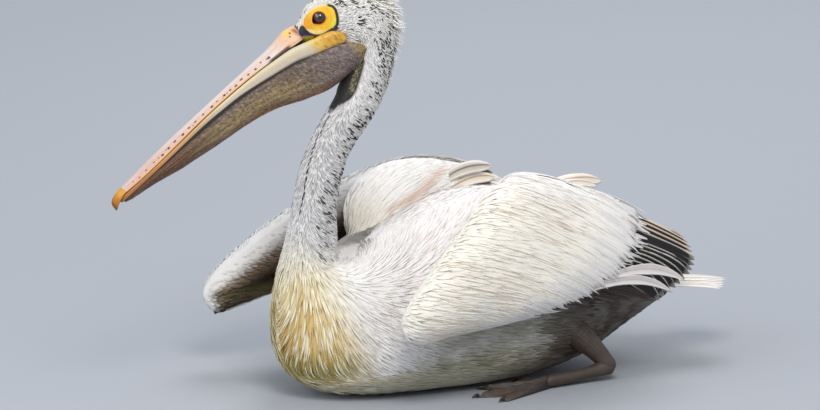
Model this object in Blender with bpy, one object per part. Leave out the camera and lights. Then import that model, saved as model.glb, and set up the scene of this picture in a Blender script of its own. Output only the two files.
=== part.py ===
"""Spot-billed pelican, adult, afloat with its wings half open, as a still life-size model.

Metres. The bird faces -Y, its left side is +X, +Z is up. The belly rests on a
small flat at Z = 0 under the origin, with the feet tucked flat beside it.
Every piece is a closed solid, and neighbours keep a gap of 0.3 mm.
"""
import math

import bmesh
import bpy
import numpy as np
from mathutils import Matrix

# ---------------------------------------------------------------------------
# Form of the bird, in metres. It faces -Y, its left side is +X, +Z is up, and
# the belly rests on Z = 0.
# ---------------------------------------------------------------------------
WATERLINE = 0.067          # level to which a floating bird sinks
HEAD_TURN = math.radians(13.0)   # the head looks a little to the bird's right
HEAD_PIVOT_Y = -0.12       # the head turns about an upright axis here
BILL_PITCH = math.radians(40.6)  # the closed bill points down by this much
BILL_ORIGIN = (-0.220, 0.4530)   # (y, z) of the cutting edge at the bill's base
EYE_CENTRE = (0.0130, -0.1853, 0.4827)  # left eye, before the head turns
EYE_RADIUS = 0.0110
GAP = 0.0003


def spline(table, x):
    """Smooth curve through the rows of a table, read at fractional row numbers x."""
    t = np.asarray(table, float)
    n = len(t)
    x = np.clip(np.asarray(x, float), 0, n - 1)
    i = np.minimum(x.astype(int), n - 2)
    f = (x - i)[..., None]
    p1, p2 = t[i], t[i + 1]
    p0 = np.where((i == 0)[..., None], 2 * p1 - p2, t[np.maximum(i - 1, 0)])
    p3 = np.where((i == n - 2)[..., None], 2 * p2 - p1, t[np.minimum(i + 2, n - 1)])
    return 0.5 * (2 * p1 + (p2 - p0) * f + (2 * p0 - 5 * p1 + 4 * p2 - p3) * f * f
                  + (3 * p1 - p0 - 3 * p2 + p3) * f ** 3)


def smooth(x, a, b):
    """0 below a, 1 above b, eased in between."""
    t = np.clip((np.asarray(x, float) - a) / (b - a), 0, 1)
    return t * t * (3 - 2 * t)


def unit(v):
    return v / np.maximum(np.linalg.norm(v, axis=-1, keepdims=True), 1e-12)


# Stations of the head, neck and trunk, from the bill's base to the tail's root:
# y, z of the upper (dorsal) edge; y, z of the lower (ventral) edge; half width;
# share of the way up at which it is widest; squareness of the section.
BODY = [
    (-0.2125, 0.4690, -0.2105, 0.4490, 0.0135, 0.50, 2.0),   # 0 bill's base
    (-0.2018, 0.4878, -0.1990, 0.4460, 0.0200, 0.52, 2.1),   # 1 forehead
    (-0.1860, 0.5035, -0.1830, 0.4420, 0.0240, 0.52, 2.1),   # 2 eyes
    (-0.1600, 0.5115, -0.1640, 0.4380, 0.0262, 0.52, 2.1),   # 3 crown
    (-0.1300, 0.5105, -0.1520, 0.4330, 0.0277, 0.54, 2.1),   # 4
    (-0.1030, 0.5010, -0.1470, 0.4260, 0.0285, 0.55, 2.1),   # 5 back of the head
    (-0.0850, 0.4790, -0.1455, 0.4170, 0.0280, 0.55, 2.1),   # 6 nape
    (-0.0835, 0.4480, -0.1490, 0.4085, 0.0270, 0.55, 2.0),   # 7
    (-0.0895, 0.4150, -0.1535, 0.3985, 0.0262, 0.52, 2.0),   # 8 neck
    (-0.0990, 0.3820, -0.1590, 0.3860, 0.0255, 0.50, 2.0),   # 9
    (-0.1140, 0.3510, -0.1640, 0.3740, 0.0250, 0.50, 2.0),   # 10
    (-0.1460, 0.3095, -0.1912, 0.3340, 0.0250, 0.50, 2.0),   # 11
    (-0.1611, 0.2735, -0.2129, 0.2889, 0.0262, 0.50, 2.0),   # 12
    (-0.1680, 0.2300, -0.2243, 0.2360, 0.0285, 0.50, 2.0),   # 13
    (-0.1680, 0.1780, -0.2355, 0.1900, 0.0340, 0.48, 2.0),   # 14 neck's foot
    (-0.1520, 0.1745, -0.2430, 0.1550, 0.0450, 0.46, 2.0),   # 15
    (-0.1300, 0.1880, -0.2480, 0.1120, 0.0600, 0.45, 2.0),   # 16 breast
    (-0.1020, 0.2060, -0.2460, 0.0680, 0.0765, 0.45, 2.0),   # 17
    (-0.0700, 0.2210, -0.2290, 0.0310, 0.0930, 0.44, 2.1),   # 18
    (-0.0330, 0.2330, -0.1880, 0.0060, 0.1050, 0.43, 2.2),   # 19
    (0.0050, 0.2400, -0.1200, -0.0030, 0.1140, 0.42, 2.3),   # 20
    (0.0450, 0.2410, -0.0400, -0.0055, 0.1155, 0.42, 2.3),   # 21
    (0.0900, 0.2340, 0.0450, -0.0040, 0.1120, 0.42, 2.2),    # 22
    (0.1350, 0.2180, 0.1150, 0.0030, 0.1000, 0.44, 2.1),     # 23
    (0.1800, 0.1920, 0.1720, 0.0180, 0.0820, 0.46, 2.1),     # 24
    (0.2200, 0.1600, 0.2200, 0.0420, 0.0620, 0.48, 2.1),     # 25
    (0.2550, 0.1310, 0.2620, 0.0640, 0.0450, 0.50, 2.2),     # 26
    (0.2850, 0.1110, 0.2930, 0.0800, 0.0330, 0.50, 2.3),     # 27 tail's root
]


def turn_head(p, s):
    """Turns points at station s of the body about the upright axis of the head."""
    a = -HEAD_TURN * (1 - smooth(s, 7.0, 12.5))
    x, y = p[..., 0], p[..., 1] - HEAD_PIVOT_Y
    q = np.array(p, float)
    q[..., 0] = x * np.cos(a) - y * np.sin(a)
    q[..., 1] = x * np.sin(a) + y * np.cos(a) + HEAD_PIVOT_Y
    return q


def head_face(s, phi):
    """Modelling of the head: cheeks, brow and the flat round the eye, as an offset."""
    side = np.abs(np.sin(phi))
    up = np.cos(phi)
    cheek = 0.0022 * np.exp(-((s - 4.3) / 1.3) ** 2 - ((up + 0.35) / 0.5) ** 2) * side
    brow = 0.0016 * np.exp(-((s - 2.1) / 0.9) ** 2 - ((up - 0.72) / 0.22) ** 2)
    socket = -0.0018 * np.exp(-((s - 2.0) / 0.75) ** 2 - ((up - 0.25) / 0.42) ** 2) * side
    lores = -0.0012 * np.exp(-((s - 1.1) / 0.6) ** 2 - ((up + 0.15) / 0.5) ** 2) * side
    return cheek + brow + socket + lores


def body(s, phi, h=0.0):
    """Point of the body at station s and angle phi round it (0 on the back, a
    quarter turn on the left side), h outside its outline."""
    s, phi, h = np.broadcast_arrays(np.asarray(s, float), np.asarray(phi, float), np.asarray(h, float))
    r = spline(BODY, s)
    top, low, w, k, n = r[..., 0:2], r[..., 2:4], r[..., 4], r[..., 5], r[..., 6]
    c = low + (top - low) * k[..., None]
    length = np.linalg.norm(top - low, axis=-1)
    up = (top - low) / length[..., None]
    h = h + head_face(s, phi)
    hu, hd, ww = (1 - k) * length + h, k * length + h, w + h
    cs, sn = np.cos(phi), np.sin(phi)
    a = np.sign(cs) * np.abs(cs) ** (2 / n) * np.where(cs > 0, hu, hd)
    b = np.sign(sn) * np.abs(sn) ** (2 / n) * ww
    p = np.stack([b, c[..., 0] + up[..., 0] * a, c[..., 1] + up[..., 1] * a], -1)
    return turn_head(p, s)


def bill(l, x, h):
    """Point of the bill: l along it from the base, x to the left, h above the
    cutting edges' line."""
    l, x, h = np.broadcast_arrays(np.asarray(l, float), np.asarray(x, float), np.asarray(h, float))
    ca, sa = math.cos(BILL_PITCH), math.sin(BILL_PITCH)
    y = BILL_ORIGIN[0] - l * ca - h * sa
    z = BILL_ORIGIN[1] - l * sa + h * ca
    return turn_head(np.stack([x, y, z], -1), np.zeros(l.shape))


# Upper half of the bill: l, cutting edge, ridge, half width.
UPPER = [
    (-0.0140, -0.0070, 0.0105, 0.0150), (0.0000, -0.0046, 0.0138, 0.0172), (0.0120, -0.0026, 0.0128, 0.0165),
    (0.0300, -0.0006, 0.0104, 0.0152), (0.0600, 0.0020, 0.0102, 0.0138), (0.1000, 0.0040, 0.0103, 0.0128),
    (0.1500, 0.0044, 0.0100, 0.0128), (0.1850, 0.0036, 0.0100, 0.0144), (0.2150, 0.0028, 0.0094, 0.0154),
    (0.2400, 0.0022, 0.0084, 0.0152), (0.2620, 0.0017, 0.0074, 0.0134), (0.2800, 0.0012, 0.0070, 0.0100),
]
# The hooked nail at its tip: l, lower edge, upper edge, half width.
NAIL = [
    (0.2803, 0.0012, 0.0071, 0.0097), (0.2860, 0.0002, 0.0070, 0.0084), (0.2920, -0.0024, 0.0060, 0.0074),
    (0.2975, -0.0058, 0.0042, 0.0062), (0.3020, -0.0090, 0.0006, 0.0046), (0.3036, -0.0102, -0.0040, 0.0026),
]
# Side bars of the lower half: l, upper edge, lower edge, middle of the bar from the centre, half thickness.
RAMUS = [
    (-0.0535, -0.0326, -0.0385, 0.0252, 0.0028), (-0.0500, -0.0266, -0.0420, 0.0256, 0.0050),
    (-0.0420, -0.0198, -0.0410, 0.0258, 0.0060), (-0.0240, -0.0134, -0.0336, 0.0246, 0.0052),
    (0.0000, -0.0062, -0.0258, 0.0210, 0.0047), (0.0120, -0.0034, -0.0222, 0.0190, 0.0046),
    (0.0300, -0.0014, -0.0182, 0.0172, 0.0043), (0.0500, 0.0006, -0.0144, 0.0158, 0.0039),
    (0.0700, 0.0019, -0.0104, 0.0148, 0.0034), (0.0950, 0.0031, -0.0060, 0.0141, 0.0028),
    (0.1250, 0.0037, -0.0036, 0.0137, 0.0025), (0.1500, 0.0036, -0.0024, 0.0136, 0.0023),
    (0.1850, 0.0028, -0.0024, 0.0146, 0.0022), (0.2150, 0.0021, -0.0028, 0.0152, 0.0022),
    (0.2400, 0.0015, -0.0034, 0.0144, 0.0022), (0.2620, 0.0009, -0.0042, 0.0120, 0.0022),
    (0.2780, 0.0000, -0.0054, 0.0084, 0.0022), (0.2860, -0.0008, -0.0068, 0.0046, 0.0022),
    (0.2905, -0.0018, -0.0080, 0.0000, 0.0022),
]
# The skin pouch under it: l, upper edge (between the bars), lower edge, half width, squareness.
POUCH = [
    (-0.0705, -0.0660, -0.0715, 0.0120, 2.0), (-0.0680, -0.0630, -0.0770, 0.0215, 2.0),
    (-0.0600, -0.0575, -0.0815, 0.0268, 2.1), (-0.0480, -0.0462, -0.0850, 0.0288, 2.2),
    (-0.0300, -0.0335, -0.0855, 0.0276, 2.2), (0.0000, -0.0215, -0.0832, 0.0236, 2.2),
    (0.0300, -0.0142, -0.0744, 0.0200, 2.1), (0.0500, -0.0114, -0.0648, 0.0184, 2.0),
    (0.0720, -0.0076, -0.0538, 0.0172, 2.0), (0.1000, -0.0042, -0.0466, 0.0162, 1.9),
    (0.1400, -0.0018, -0.0400, 0.0155, 1.9), (0.1800, -0.0010, -0.0328, 0.0160, 1.9),
    (0.2150, -0.0012, -0.0258, 0.0160, 1.9), (0.2450, -0.0018, -0.0190, 0.0142, 1.9),
    (0.2640, -0.0024, -0.0156, 0.0108, 1.9), (0.2790, -0.0036, -0.0130, 0.0066, 1.9),
    (0.2885, -0.0056, -0.0104, 0.0026, 2.0),
]

# Wings, half open: each row is a chord of the wing, from the body outwards.
# Front edge x, y, z; hind edge of the coverts x, y, z; lean of the outward
# direction from upright, in degrees; two bulges; arm's half thickness.
WING_LEFT = [
    (0.028, 0.044, 0.2340, 0.024, 0.230, 0.1720, 8, 0.012, 0.014, 0.0060),
    (0.067, 0.032, 0.2600, 0.070, 0.244, 0.1920, 24, 0.026, 0.032, 0.0110),
    (0.097, -0.014, 0.2465, 0.100, 0.228, 0.1690, 46, 0.032, 0.038, 0.0150),
    (0.122, -0.060, 0.2130, 0.122, 0.198, 0.1490, 62, 0.035, 0.040, 0.0165),
    (0.138, -0.108, 0.1730, 0.134, 0.146, 0.1280, 76, 0.032, 0.038, 0.0170),
    (0.148, -0.143, 0.1370, 0.138, 0.080, 0.1120, 86, 0.026, 0.029, 0.0165),
    (0.146, -0.151, 0.1100, 0.136, 0.006, 0.1010, 98, 0.019, 0.019, 0.0140),
    (0.138, -0.129, 0.0915, 0.128, -0.052, 0.0945, 110, 0.006, 0.006, 0.0085),
]
WING_RIGHT = [
    (0.028, 0.052, 0.2310, 0.024, 0.226, 0.1720, 8, 0.000, 0.000, 0.0060),
    (0.078, 0.042, 0.2540, 0.074, 0.250, 0.1760, 22, -0.012, -0.010, 0.0110),
    (0.113, -0.018, 0.2530, 0.122, 0.246, 0.1640, 40, 0.010, 0.014, 0.0160),
    (0.144, -0.083, 0.2250, 0.158, 0.204, 0.1480, 56, 0.026, 0.032, 0.0185),
    (0.168, -0.146, 0.1870, 0.180, 0.142, 0.1280, 68, 0.030, 0.036, 0.0200),
    (0.188, -0.197, 0.1480, 0.192, 0.062, 0.1100, 78, 0.024, 0.030, 0.0205),
    (0.202, -0.245, 0.1010, 0.190, -0.030, 0.1020, 92, 0.014, 0.016, 0.0170),
    (0.194, -0.235, 0.0690, 0.177, -0.120, 0.1030, 106, 0.004, 0.005, 0.0100),
]
# The shoulder and upper arm of the raised right wing, from the foot of the neck to
# the elbow: axis x, y, z; half width; half height.
SHOULDER = [
    (0.0440, -0.1290, 0.1500, 0.0060, 0.0060), (0.0400, -0.1050, 0.1820, 0.0260, 0.0225),
    (0.0520, -0.0820, 0.2110, 0.0400, 0.0430), (0.0620, -0.0500, 0.2295, 0.0440, 0.0405),
    (0.0700, -0.0100, 0.2385, 0.0400, 0.0315), (0.0740, 0.0300, 0.2395, 0.0340, 0.0220),
    (0.0760, 0.0700, 0.2345, 0.0250, 0.0150), (0.0780, 0.1000, 0.2270, 0.0080, 0.0040),
]
WING_PANEL = 0.0022       # half thickness of the feathered part behind the arm
# Flight feathers below the coverts: tips x, y, z of the long feathers at each row.
FLIGHT_LEFT = [
    (0.030, 0.262, 0.1780), (0.066, 0.292, 0.1640), (0.086, 0.300, 0.1330), (0.100, 0.262, 0.1060),
    (0.112, 0.204, 0.0880), (0.118, 0.140, 0.0790), (0.122, 0.070, 0.0760), (0.124, 0.000, 0.0800),
]
FLIGHT_RIGHT = [
    (0.030, 0.262, 0.1780), (0.074, 0.300, 0.1640), (0.108, 0.304, 0.1360), (0.136, 0.258, 0.1140),
    (0.156, 0.196, 0.0980), (0.166, 0.120, 0.0900), (0.169, 0.030, 0.0880), (0.168, -0.050, 0.0970),
]


def pouch_section(a, top, low, w, p, h=0.0):
    """Section of the pouch: hangs from the bars, swells, and closes in a rounded keel."""
    x = (w + h) * np.sign(np.cos(a)) * np.abs(np.cos(a)) ** (2 / p) * (1 + 0.13 * np.abs(np.sin(2 * a)))
    return x, top - (top - low + h) * np.abs(np.sin(a)) ** (2 / p)


def shoulder(t, a, h=0.0):
    """Point of the right shoulder at row t and angle a round it (0 on the outer side)."""
    t, a, h = np.broadcast_arrays(np.asarray(t, float), np.asarray(a, float), np.asarray(h, float))
    r = spline(SHOULDER, t)
    run = unit(spline(SHOULDER, t + 0.05)[..., 0:3] - spline(SHOULDER, t - 0.05)[..., 0:3])
    across = unit(np.cross(run, np.array([0.0, 0.0, 1.0])))
    across = np.where(across[..., :1] < 0, -across, across)
    up = unit(np.cross(run, across))
    up = np.where(up[..., 2:] < 0, -up, up)
    p = r[..., 0:3] + across * (np.cos(a) * (r[..., 3] + h))[..., None] + up * (np.sin(a) * (r[..., 4] + h))[..., None]
    return p * np.array([-1, 1, 1])


def wing_sheet(rows, t, c):
    """Middle surface of a wing at row t and share c of the chord, and its outward
    direction. c may pass 1, where the surface runs on straight."""
    t, c = np.broadcast_arrays(np.asarray(t, float), np.asarray(c, float))
    r = spline(rows, t)
    a, d = r[..., 0:3], r[..., 3:6]
    lean = np.radians(r[..., 6])
    out = np.stack([np.sin(lean), 0 * lean, np.cos(lean)], -1)
    p1 = a + 0.30 * (d - a) + out * r[..., 7:8]
    p2 = a + 0.70 * (d - a) + out * r[..., 8:9]
    u = np.clip(c, None, 1.0)[..., None]
    p = (a * (1 - u) ** 3 + 3 * p1 * u * (1 - u) ** 2 + 3 * p2 * u * u * (1 - u) + d * u ** 3)
    return p + np.maximum(c - 1, 0)[..., None] * 3 * (d - p2)


def wing_frame(rows, t, c):
    e = 1e-3
    p = wing_sheet(rows, t, c)
    dt = wing_sheet(rows, np.asarray(t) + e, c) - wing_sheet(rows, np.asarray(t) - e, c)
    dc = wing_sheet(rows, t, np.asarray(c) + e) - wing_sheet(rows, t, np.asarray(c) - e)
    n = unit(np.cross(dc, dt))
    return p, -n, unit(dt), unit(dc)


def wing_thickness(rows, t, c):
    """Half thickness of the wing: a thick arm behind the front edge, a thin vane behind."""
    t, c = np.broadcast_arrays(np.asarray(t, float), np.asarray(c, float))
    arm = spline(rows, t)[..., 9]
    nose = np.sqrt(np.clip(1 - (1 - np.clip(c / 0.13, 0, 1)) ** 2, 0, 1))
    ends = np.sqrt(np.clip(np.minimum(t, len(rows) - 1 - t) / 0.30, 0, 1))
    return (arm * (1 - smooth(c, 0.12, 0.60)) + WING_PANEL) * nose * ends


def wing_point(rows, t, c, side, h=0.0, mirror=1):
    """Point of the wing's upper (side 1) or lower (side -1) face, h outside it."""
    p, n, _, _ = wing_frame(rows, t, c)
    th = wing_thickness(rows, t, c) + h
    return (p + n * (side * th)[..., None]) * np.array([mirror, 1, 1])


# ---------------------------------------------------------------------------
# Scene, materials and solid makers
# ---------------------------------------------------------------------------
for old in list(bpy.data.objects):
    bpy.data.objects.remove(old, do_unlink=True)

BIRD = bpy.data.collections.new("Pelican")
GUIDES = bpy.data.collections.new("Cutters")
bpy.context.scene.collection.children.link(BIRD)
bpy.context.scene.collection.children.link(GUIDES)
SEAM = 0.0035              # half of the cut between two lengths of the body, in stations


def material(name, colour, rough=0.8):
    m = bpy.data.materials.new(name)
    m.use_nodes = True
    shader = m.node_tree.nodes["Principled BSDF"]
    shader.inputs["Base Color"].default_value = (*colour, 1.0)
    shader.inputs["Roughness"].default_value = rough
    shader.inputs["Metallic"].default_value = 0.0
    return m


def loft(name, rings, mat, guide=False, thin=False):
    """Closed solid through rings of equal count, closed at each end."""
    rings = np.asarray(rings, float)
    rows, count = rings.shape[:2]
    points = [tuple(p) for p in rings.reshape(-1, 3)]
    first, last = len(points), len(points) + 1
    if not thin:
        points += [tuple(rings[0].mean(0)), tuple(rings[-1].mean(0))]
    faces = []
    for i in range(rows - 1):
        for j in range(count):
            k = (j + 1) % count
            faces.append((i * count + j, i * count + k, (i + 1) * count + k, (i + 1) * count + j))
    if thin:                                # a thin section is closed straight across
        far = (rows - 1) * count
        for j in range((count - 1) // 2):
            a, b = j, count - 1 - j
            quad = [a, b, b - 1, a + 1] if a + 1 != b - 1 else [a, b, b - 1]
            faces.append(tuple(quad))
            faces.append(tuple(far + q for q in reversed(quad)))
    else:
        for j in range(count):
            k = (j + 1) % count
            faces.append((first, k, j))
            faces.append((last, (rows - 1) * count + j, (rows - 1) * count + k))
    bm = bmesh.new()
    verts = [bm.verts.new(p) for p in points]
    for f in faces:
        bm.faces.new([verts[i] for i in f])
    bmesh.ops.remove_doubles(bm, verts=bm.verts, dist=2e-6)
    bmesh.ops.dissolve_degenerate(bm, edges=bm.edges, dist=1e-6)
    bmesh.ops.triangulate(bm, faces=bm.faces)
    if bm.calc_volume(signed=True) < 0:
        bmesh.ops.reverse_faces(bm, faces=bm.faces)
    return finish_mesh(name, bm, mat, guide)


def finish_mesh(name, bm, mat, guide=False, smooth_shade=True):
    mesh = bpy.data.meshes.new(name)
    bm.to_mesh(mesh)
    bm.free()
    obj = bpy.data.objects.new(name, mesh)
    (GUIDES if guide else BIRD).objects.link(obj)
    if guide:
        obj.hide_render = True
        obj.display_type = "WIRE"
    elif mat is not None:
        mesh.materials.append(mat)
    if smooth_shade:
        mesh.shade_smooth()
        mesh.set_sharp_from_angle(angle=math.radians(50))
    return obj


def boolean(obj, cutter, operation="DIFFERENCE"):
    mod = obj.modifiers.new(operation.title(), "BOOLEAN")
    mod.operation = operation
    mod.solver = "EXACT"
    mod.object = cutter


def settle(obj):
    """Applies the modifiers and keeps the largest closed body."""
    deps = bpy.context.evaluated_depsgraph_get()
    mesh = bpy.data.meshes.new_from_object(obj.evaluated_get(deps))
    bm = bmesh.new()
    bm.from_mesh(mesh)
    bmesh.ops.remove_doubles(bm, verts=bm.verts, dist=8e-6)
    bmesh.ops.dissolve_degenerate(bm, edges=bm.edges, dist=4e-6)
    bmesh.ops.triangulate(bm, faces=bm.faces)
    left = set(bm.faces)
    groups = []
    while left:
        stack = [left.pop()]
        group = list(stack)
        while stack:
            face = stack.pop()
            for edge in face.edges:
                for other in edge.link_faces:
                    if other in left:
                        left.remove(other)
                        stack.append(other)
                        group.append(other)
        groups.append(group)
    groups.sort(key=lambda g: -sum(f.calc_area() for f in g))
    for group in groups[1:]:
        bmesh.ops.delete(bm, geom=group, context="FACES")
    loose = [v for v in bm.verts if not v.link_faces]
    bmesh.ops.delete(bm, geom=loose, context="VERTS")
    if bm.calc_volume(signed=True) < 0:
        bmesh.ops.reverse_faces(bm, faces=bm.faces)
    bm.to_mesh(mesh)
    bm.free()
    obj.modifiers.clear()
    obj.data = mesh
    mesh.shade_smooth()
    mesh.set_sharp_from_angle(angle=math.radians(50))


def body_rings(a, b, step, count, h=0.0):
    n = max(2, int(round((b - a) / step)) + 1)
    phi = np.linspace(0, 2 * math.pi, count, endpoint=False)
    s = np.linspace(a, b, n)
    if h > 0:                               # a cutter also reaches into the thin cuts at its ends
        s = np.concatenate([[a - 2 * SEAM], s, [b + 2 * SEAM]])
    rings = body(s[:, None], phi[None, :], h)
    rings[..., 2] = np.maximum(rings[..., 2], 0.0 - max(h, 0.0))
    return rings


# ---------------------------------------------------------------------------
# Head, neck and trunk: one smooth form, parted by thin cuts
# ---------------------------------------------------------------------------
plume = material("White plumage", (0.78, 0.76, 0.72))
neck_plume = material("Neck down", (0.62, 0.60, 0.58))
breast_plume = material("Yellow breast plumes", (0.74, 0.62, 0.36))
LENGTHS = [("head", 0.0, 7.5, 0.54, 22, neck_plume), ("neck_upper", 7.5, 10.0, 0.62, 18, neck_plume),
           ("neck_middle", 10.0, 12.0, 0.5, 18, neck_plume), ("neck_lower", 12.0, 14.0, 0.5, 20, neck_plume),
           ("breast", 14.0, 18.0, 0.6, 22, breast_plume), ("trunk", 18.0, 24.0, 0.65, 24, plume),
           ("rump", 24.0, 27.0, 0.6, 20, plume)]
PIECES = {}
for name, a, b, step, count, mat in LENGTHS:
    PIECES[name] = loft(name, body_rings(a + SEAM * (a > 0), b - SEAM, step, count), mat)

# ---------------------------------------------------------------------------
# Bill: ridged upper half with its nail, the two bars of the lower half joined
# at the tip, and the skin pouch hung between them
# ---------------------------------------------------------------------------
horn = material("Bill horn", (0.72, 0.52, 0.38), 0.45)
nail_horn = material("Bill nail", (0.80, 0.42, 0.10), 0.4)
bar_horn = material("Lower bill bars", (0.72, 0.60, 0.38), 0.45)
pouch_skin = material("Pouch skin", (0.28, 0.22, 0.19), 0.6)


def refine(table, n):
    return spline(table, np.linspace(0, len(table) - 1, n))


def dome_rings(table, n, count, h=0.0, power=1.65):
    rings = []
    a = np.linspace(0, math.pi, count)
    for l, low, top, w in refine(table, n):
        x = (w + h) * np.sign(np.cos(a)) * np.abs(np.cos(a)) ** (2 / power)
        z = low + (top - low + h) * np.abs(np.sin(a)) ** (2 / power)
        flat = np.linspace(-1, 1, 4)[1:-1] * (w + h)
        xs = np.concatenate([x, flat])
        zs = np.concatenate([z - h * (np.sin(a) < 1e-6), np.full(2, low - h)])
        rings.append(bill(l, xs, zs))
    return np.array(rings)


def bar_path(n, h=0.0):
    """Rings round the lower bars, from the left joint round the tip to the right joint."""
    half = refine(RAMUS, n)
    a = np.linspace(0, 2 * math.pi, 8, endpoint=False) + math.pi / 8
    side = np.concatenate([np.column_stack([half[:, 0], half[:, 3], half[:, 1], half[:, 2], half[:, 4]]),
                           np.column_stack([half[:, 0], -half[:, 3], half[:, 1], half[:, 2], half[:, 4]])[-2::-1]])
    path = side[:, :2]
    run = np.gradient(path, axis=0)
    run[n - 1] = (0, -1)
    run = unit(run)
    rings = []
    for (l, x, top, low, w), (dl, dx) in zip(side, run):
        c, r = (top + low) / 2, (top - low) / 2
        off = (w + h) * np.sign(np.cos(a)) * np.abs(np.cos(a)) ** 0.8
        up = c + (r + h) * np.sign(np.sin(a)) * np.abs(np.sin(a)) ** 0.8
        rings.append(bill(l - dx * off, x + dl * off, up))
    return np.array(rings)


def pouch_rings(n, count, h=0.0):
    rings = []
    a = np.linspace(0, math.pi, count)
    for l, top, low, w, power in refine(POUCH, n):
        x, z = pouch_section(a, top, low, w, power, h)
        flat = np.linspace(-1, 1, 5)[1:-1] * (w + h)
        rings.append(bill(l, np.concatenate([x, flat]), np.concatenate([z, np.full(3, top + h)])))
    rings = np.array(rings)
    return rings


PIECES["bill_upper"] = loft("bill_upper", dome_rings(UPPER, 14, 11), horn)
PIECES["bill_nail"] = loft("bill_nail", dome_rings(NAIL, 7, 9), nail_horn)
PIECES["bill_lower"] = loft("bill_lower", bar_path(14), bar_horn)
PIECES["pouch"] = loft("pouch", pouch_rings(16, 9), pouch_skin)
upper_cut = loft("cut_bill_upper", dome_rings(UPPER, 14, 11, GAP), None, True)
nail_cut = loft("cut_bill_nail", dome_rings(NAIL, 7, 9, GAP), None, True)
bar_cut = loft("cut_bill_lower", bar_path(14, GAP), None, True)
pouch_cut = loft("cut_pouch", pouch_rings(16, 9, GAP), None, True)

# ---------------------------------------------------------------------------
# Eyes, set in sockets
# ---------------------------------------------------------------------------
iris = material("Eye", (0.16, 0.03, 0.02), 0.12)


def eye(name, sign, radius, mat, guide=False):
    bm = bmesh.new()
    bmesh.ops.create_uvsphere(bm, u_segments=12, v_segments=7, radius=radius)
    place = turn_head(np.array([sign * EYE_CENTRE[0], EYE_CENTRE[1], EYE_CENTRE[2]]), np.array(2.0))
    bmesh.ops.rotate(bm, verts=bm.verts, cent=(0, 0, 0),
                     matrix=Matrix.Rotation(math.pi / 2, 3, "Y"))
    bmesh.ops.translate(bm, verts=bm.verts, vec=tuple(place))
    return finish_mesh(name, bm, mat, guide)


for side, sign in (("left", 1), ("right", -1)):
    PIECES["eye_" + side] = eye("eye_" + side, sign, EYE_RADIUS, iris)
    boolean(PIECES["head"], eye("cut_eye_" + side, sign, EYE_RADIUS + GAP, None, True))

for piece in ("head", "neck_upper", "neck_middle"):
    boolean(PIECES[piece], pouch_cut)
for cutter in (bar_cut, upper_cut):
    boolean(PIECES["head"], cutter)
boolean(PIECES["neck_upper"], bar_cut)
boolean(PIECES["pouch"], bar_cut)
boolean(PIECES["pouch"], upper_cut)
boolean(PIECES["bill_lower"], upper_cut)
boolean(PIECES["bill_lower"], nail_cut)
boolean(PIECES["pouch"], nail_cut)

# ---------------------------------------------------------------------------
# Wings: coverts and arm in one solid, the long flight feathers in another
# ---------------------------------------------------------------------------
dark_quill = material("Flight feathers", (0.05, 0.04, 0.035), 0.6)


def wing_rings(rows, mirror, n, count, h=0.0):
    """Section round each chord: over the top from the hind edge, round the nose, back below."""
    last = len(rows) - 1.0
    c = (1 - np.cos(np.linspace(0, math.pi / 2, count))) ** 1.1
    c[-1] = 1.0
    loop = np.concatenate([c[::-1], c[1:]])
    side = np.concatenate([np.ones(count), -np.ones(count - 1)])
    t = 0.5 - 0.5 * np.cos(np.linspace(0, math.pi, n))
    t = 0.02 + (last - 0.04) * (0.35 * t + 0.65 * np.linspace(0, 1, n))
    loop = loop + np.where(loop > 0.999, h / 0.2, 0.0)          # the gap also clears the hind edge
    rings = wing_point(rows, t[:, None], loop[None, :], side[None, :] + 0 * t[:, None], h, mirror)
    for end, inner in ((0, 1), (-1, -2)):                      # and both ends
        rings[end] += unit(rings[end] - rings[inner]) * h * 1.5
    nose = slice(count - 2, count + 1)
    rings[:, nose] += unit(rings[:, nose] - rings[:, :1]) * h
    return rings


def flight_rings(rows, tips, mirror, feathers, h=0.0):
    """A fan of long feathers that leaves the wing's under face and ends in rounded tips."""
    last = len(rows) - 1.0
    per = 3
    t = np.linspace(0.50, last - 0.12, feathers * per + 1)
    beat = (np.arange(len(t)) % per) / per
    reach = 0.955 + 0.045 * np.sqrt(np.abs(np.sin(math.pi * beat)))
    base, n0, _, _ = wing_frame(rows, t, 0.52 + 0 * t)
    edge, n1, _, _ = wing_frame(rows, t, 0.96 + 0 * t)
    p0 = base - n0 * 0.0145
    p1 = edge - n1 * 0.0070
    p2 = p1 + (spline(tips, t) - p1) * reach[:, None]
    run = unit(p1 - p0)
    bend = p1 + run * np.linalg.norm(p2 - p1, axis=-1)[:, None] * 0.40
    k = np.array([0.45, 1.0])[None, :, None]
    tail = p1[:, None] * (1 - k) ** 2 + 2 * bend[:, None] * k * (1 - k) + p2[:, None] * k * k
    sheet = np.concatenate([p0[:, None], p1[:, None], tail], 1)
    dt = np.gradient(sheet, axis=0)
    dc = np.gradient(sheet, axis=1)
    normal = -unit(np.cross(dc, dt))
    for _ in range(3):                      # even out the normals along the fan
        normal[1:-1] = unit(normal[:-2] + 2 * normal[1:-1] + normal[2:])
    thick = (np.array([0.0016, 0.0022, 0.0019, 0.0008]) + h)[None, :, None]
    rings = np.concatenate([(sheet + normal * thick)[:, ::-1], sheet - normal * thick], 1)
    return rings * np.array([mirror, 1, 1])


body_cuts = [loft("cut_" + name, body_rings(a + SEAM, b - SEAM, step, count, GAP), None, True)
             for name, a, b, step, count, mat in LENGTHS[3:]]


def clear_body(obj):
    for cutter in body_cuts:
        boolean(obj, cutter)


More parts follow.
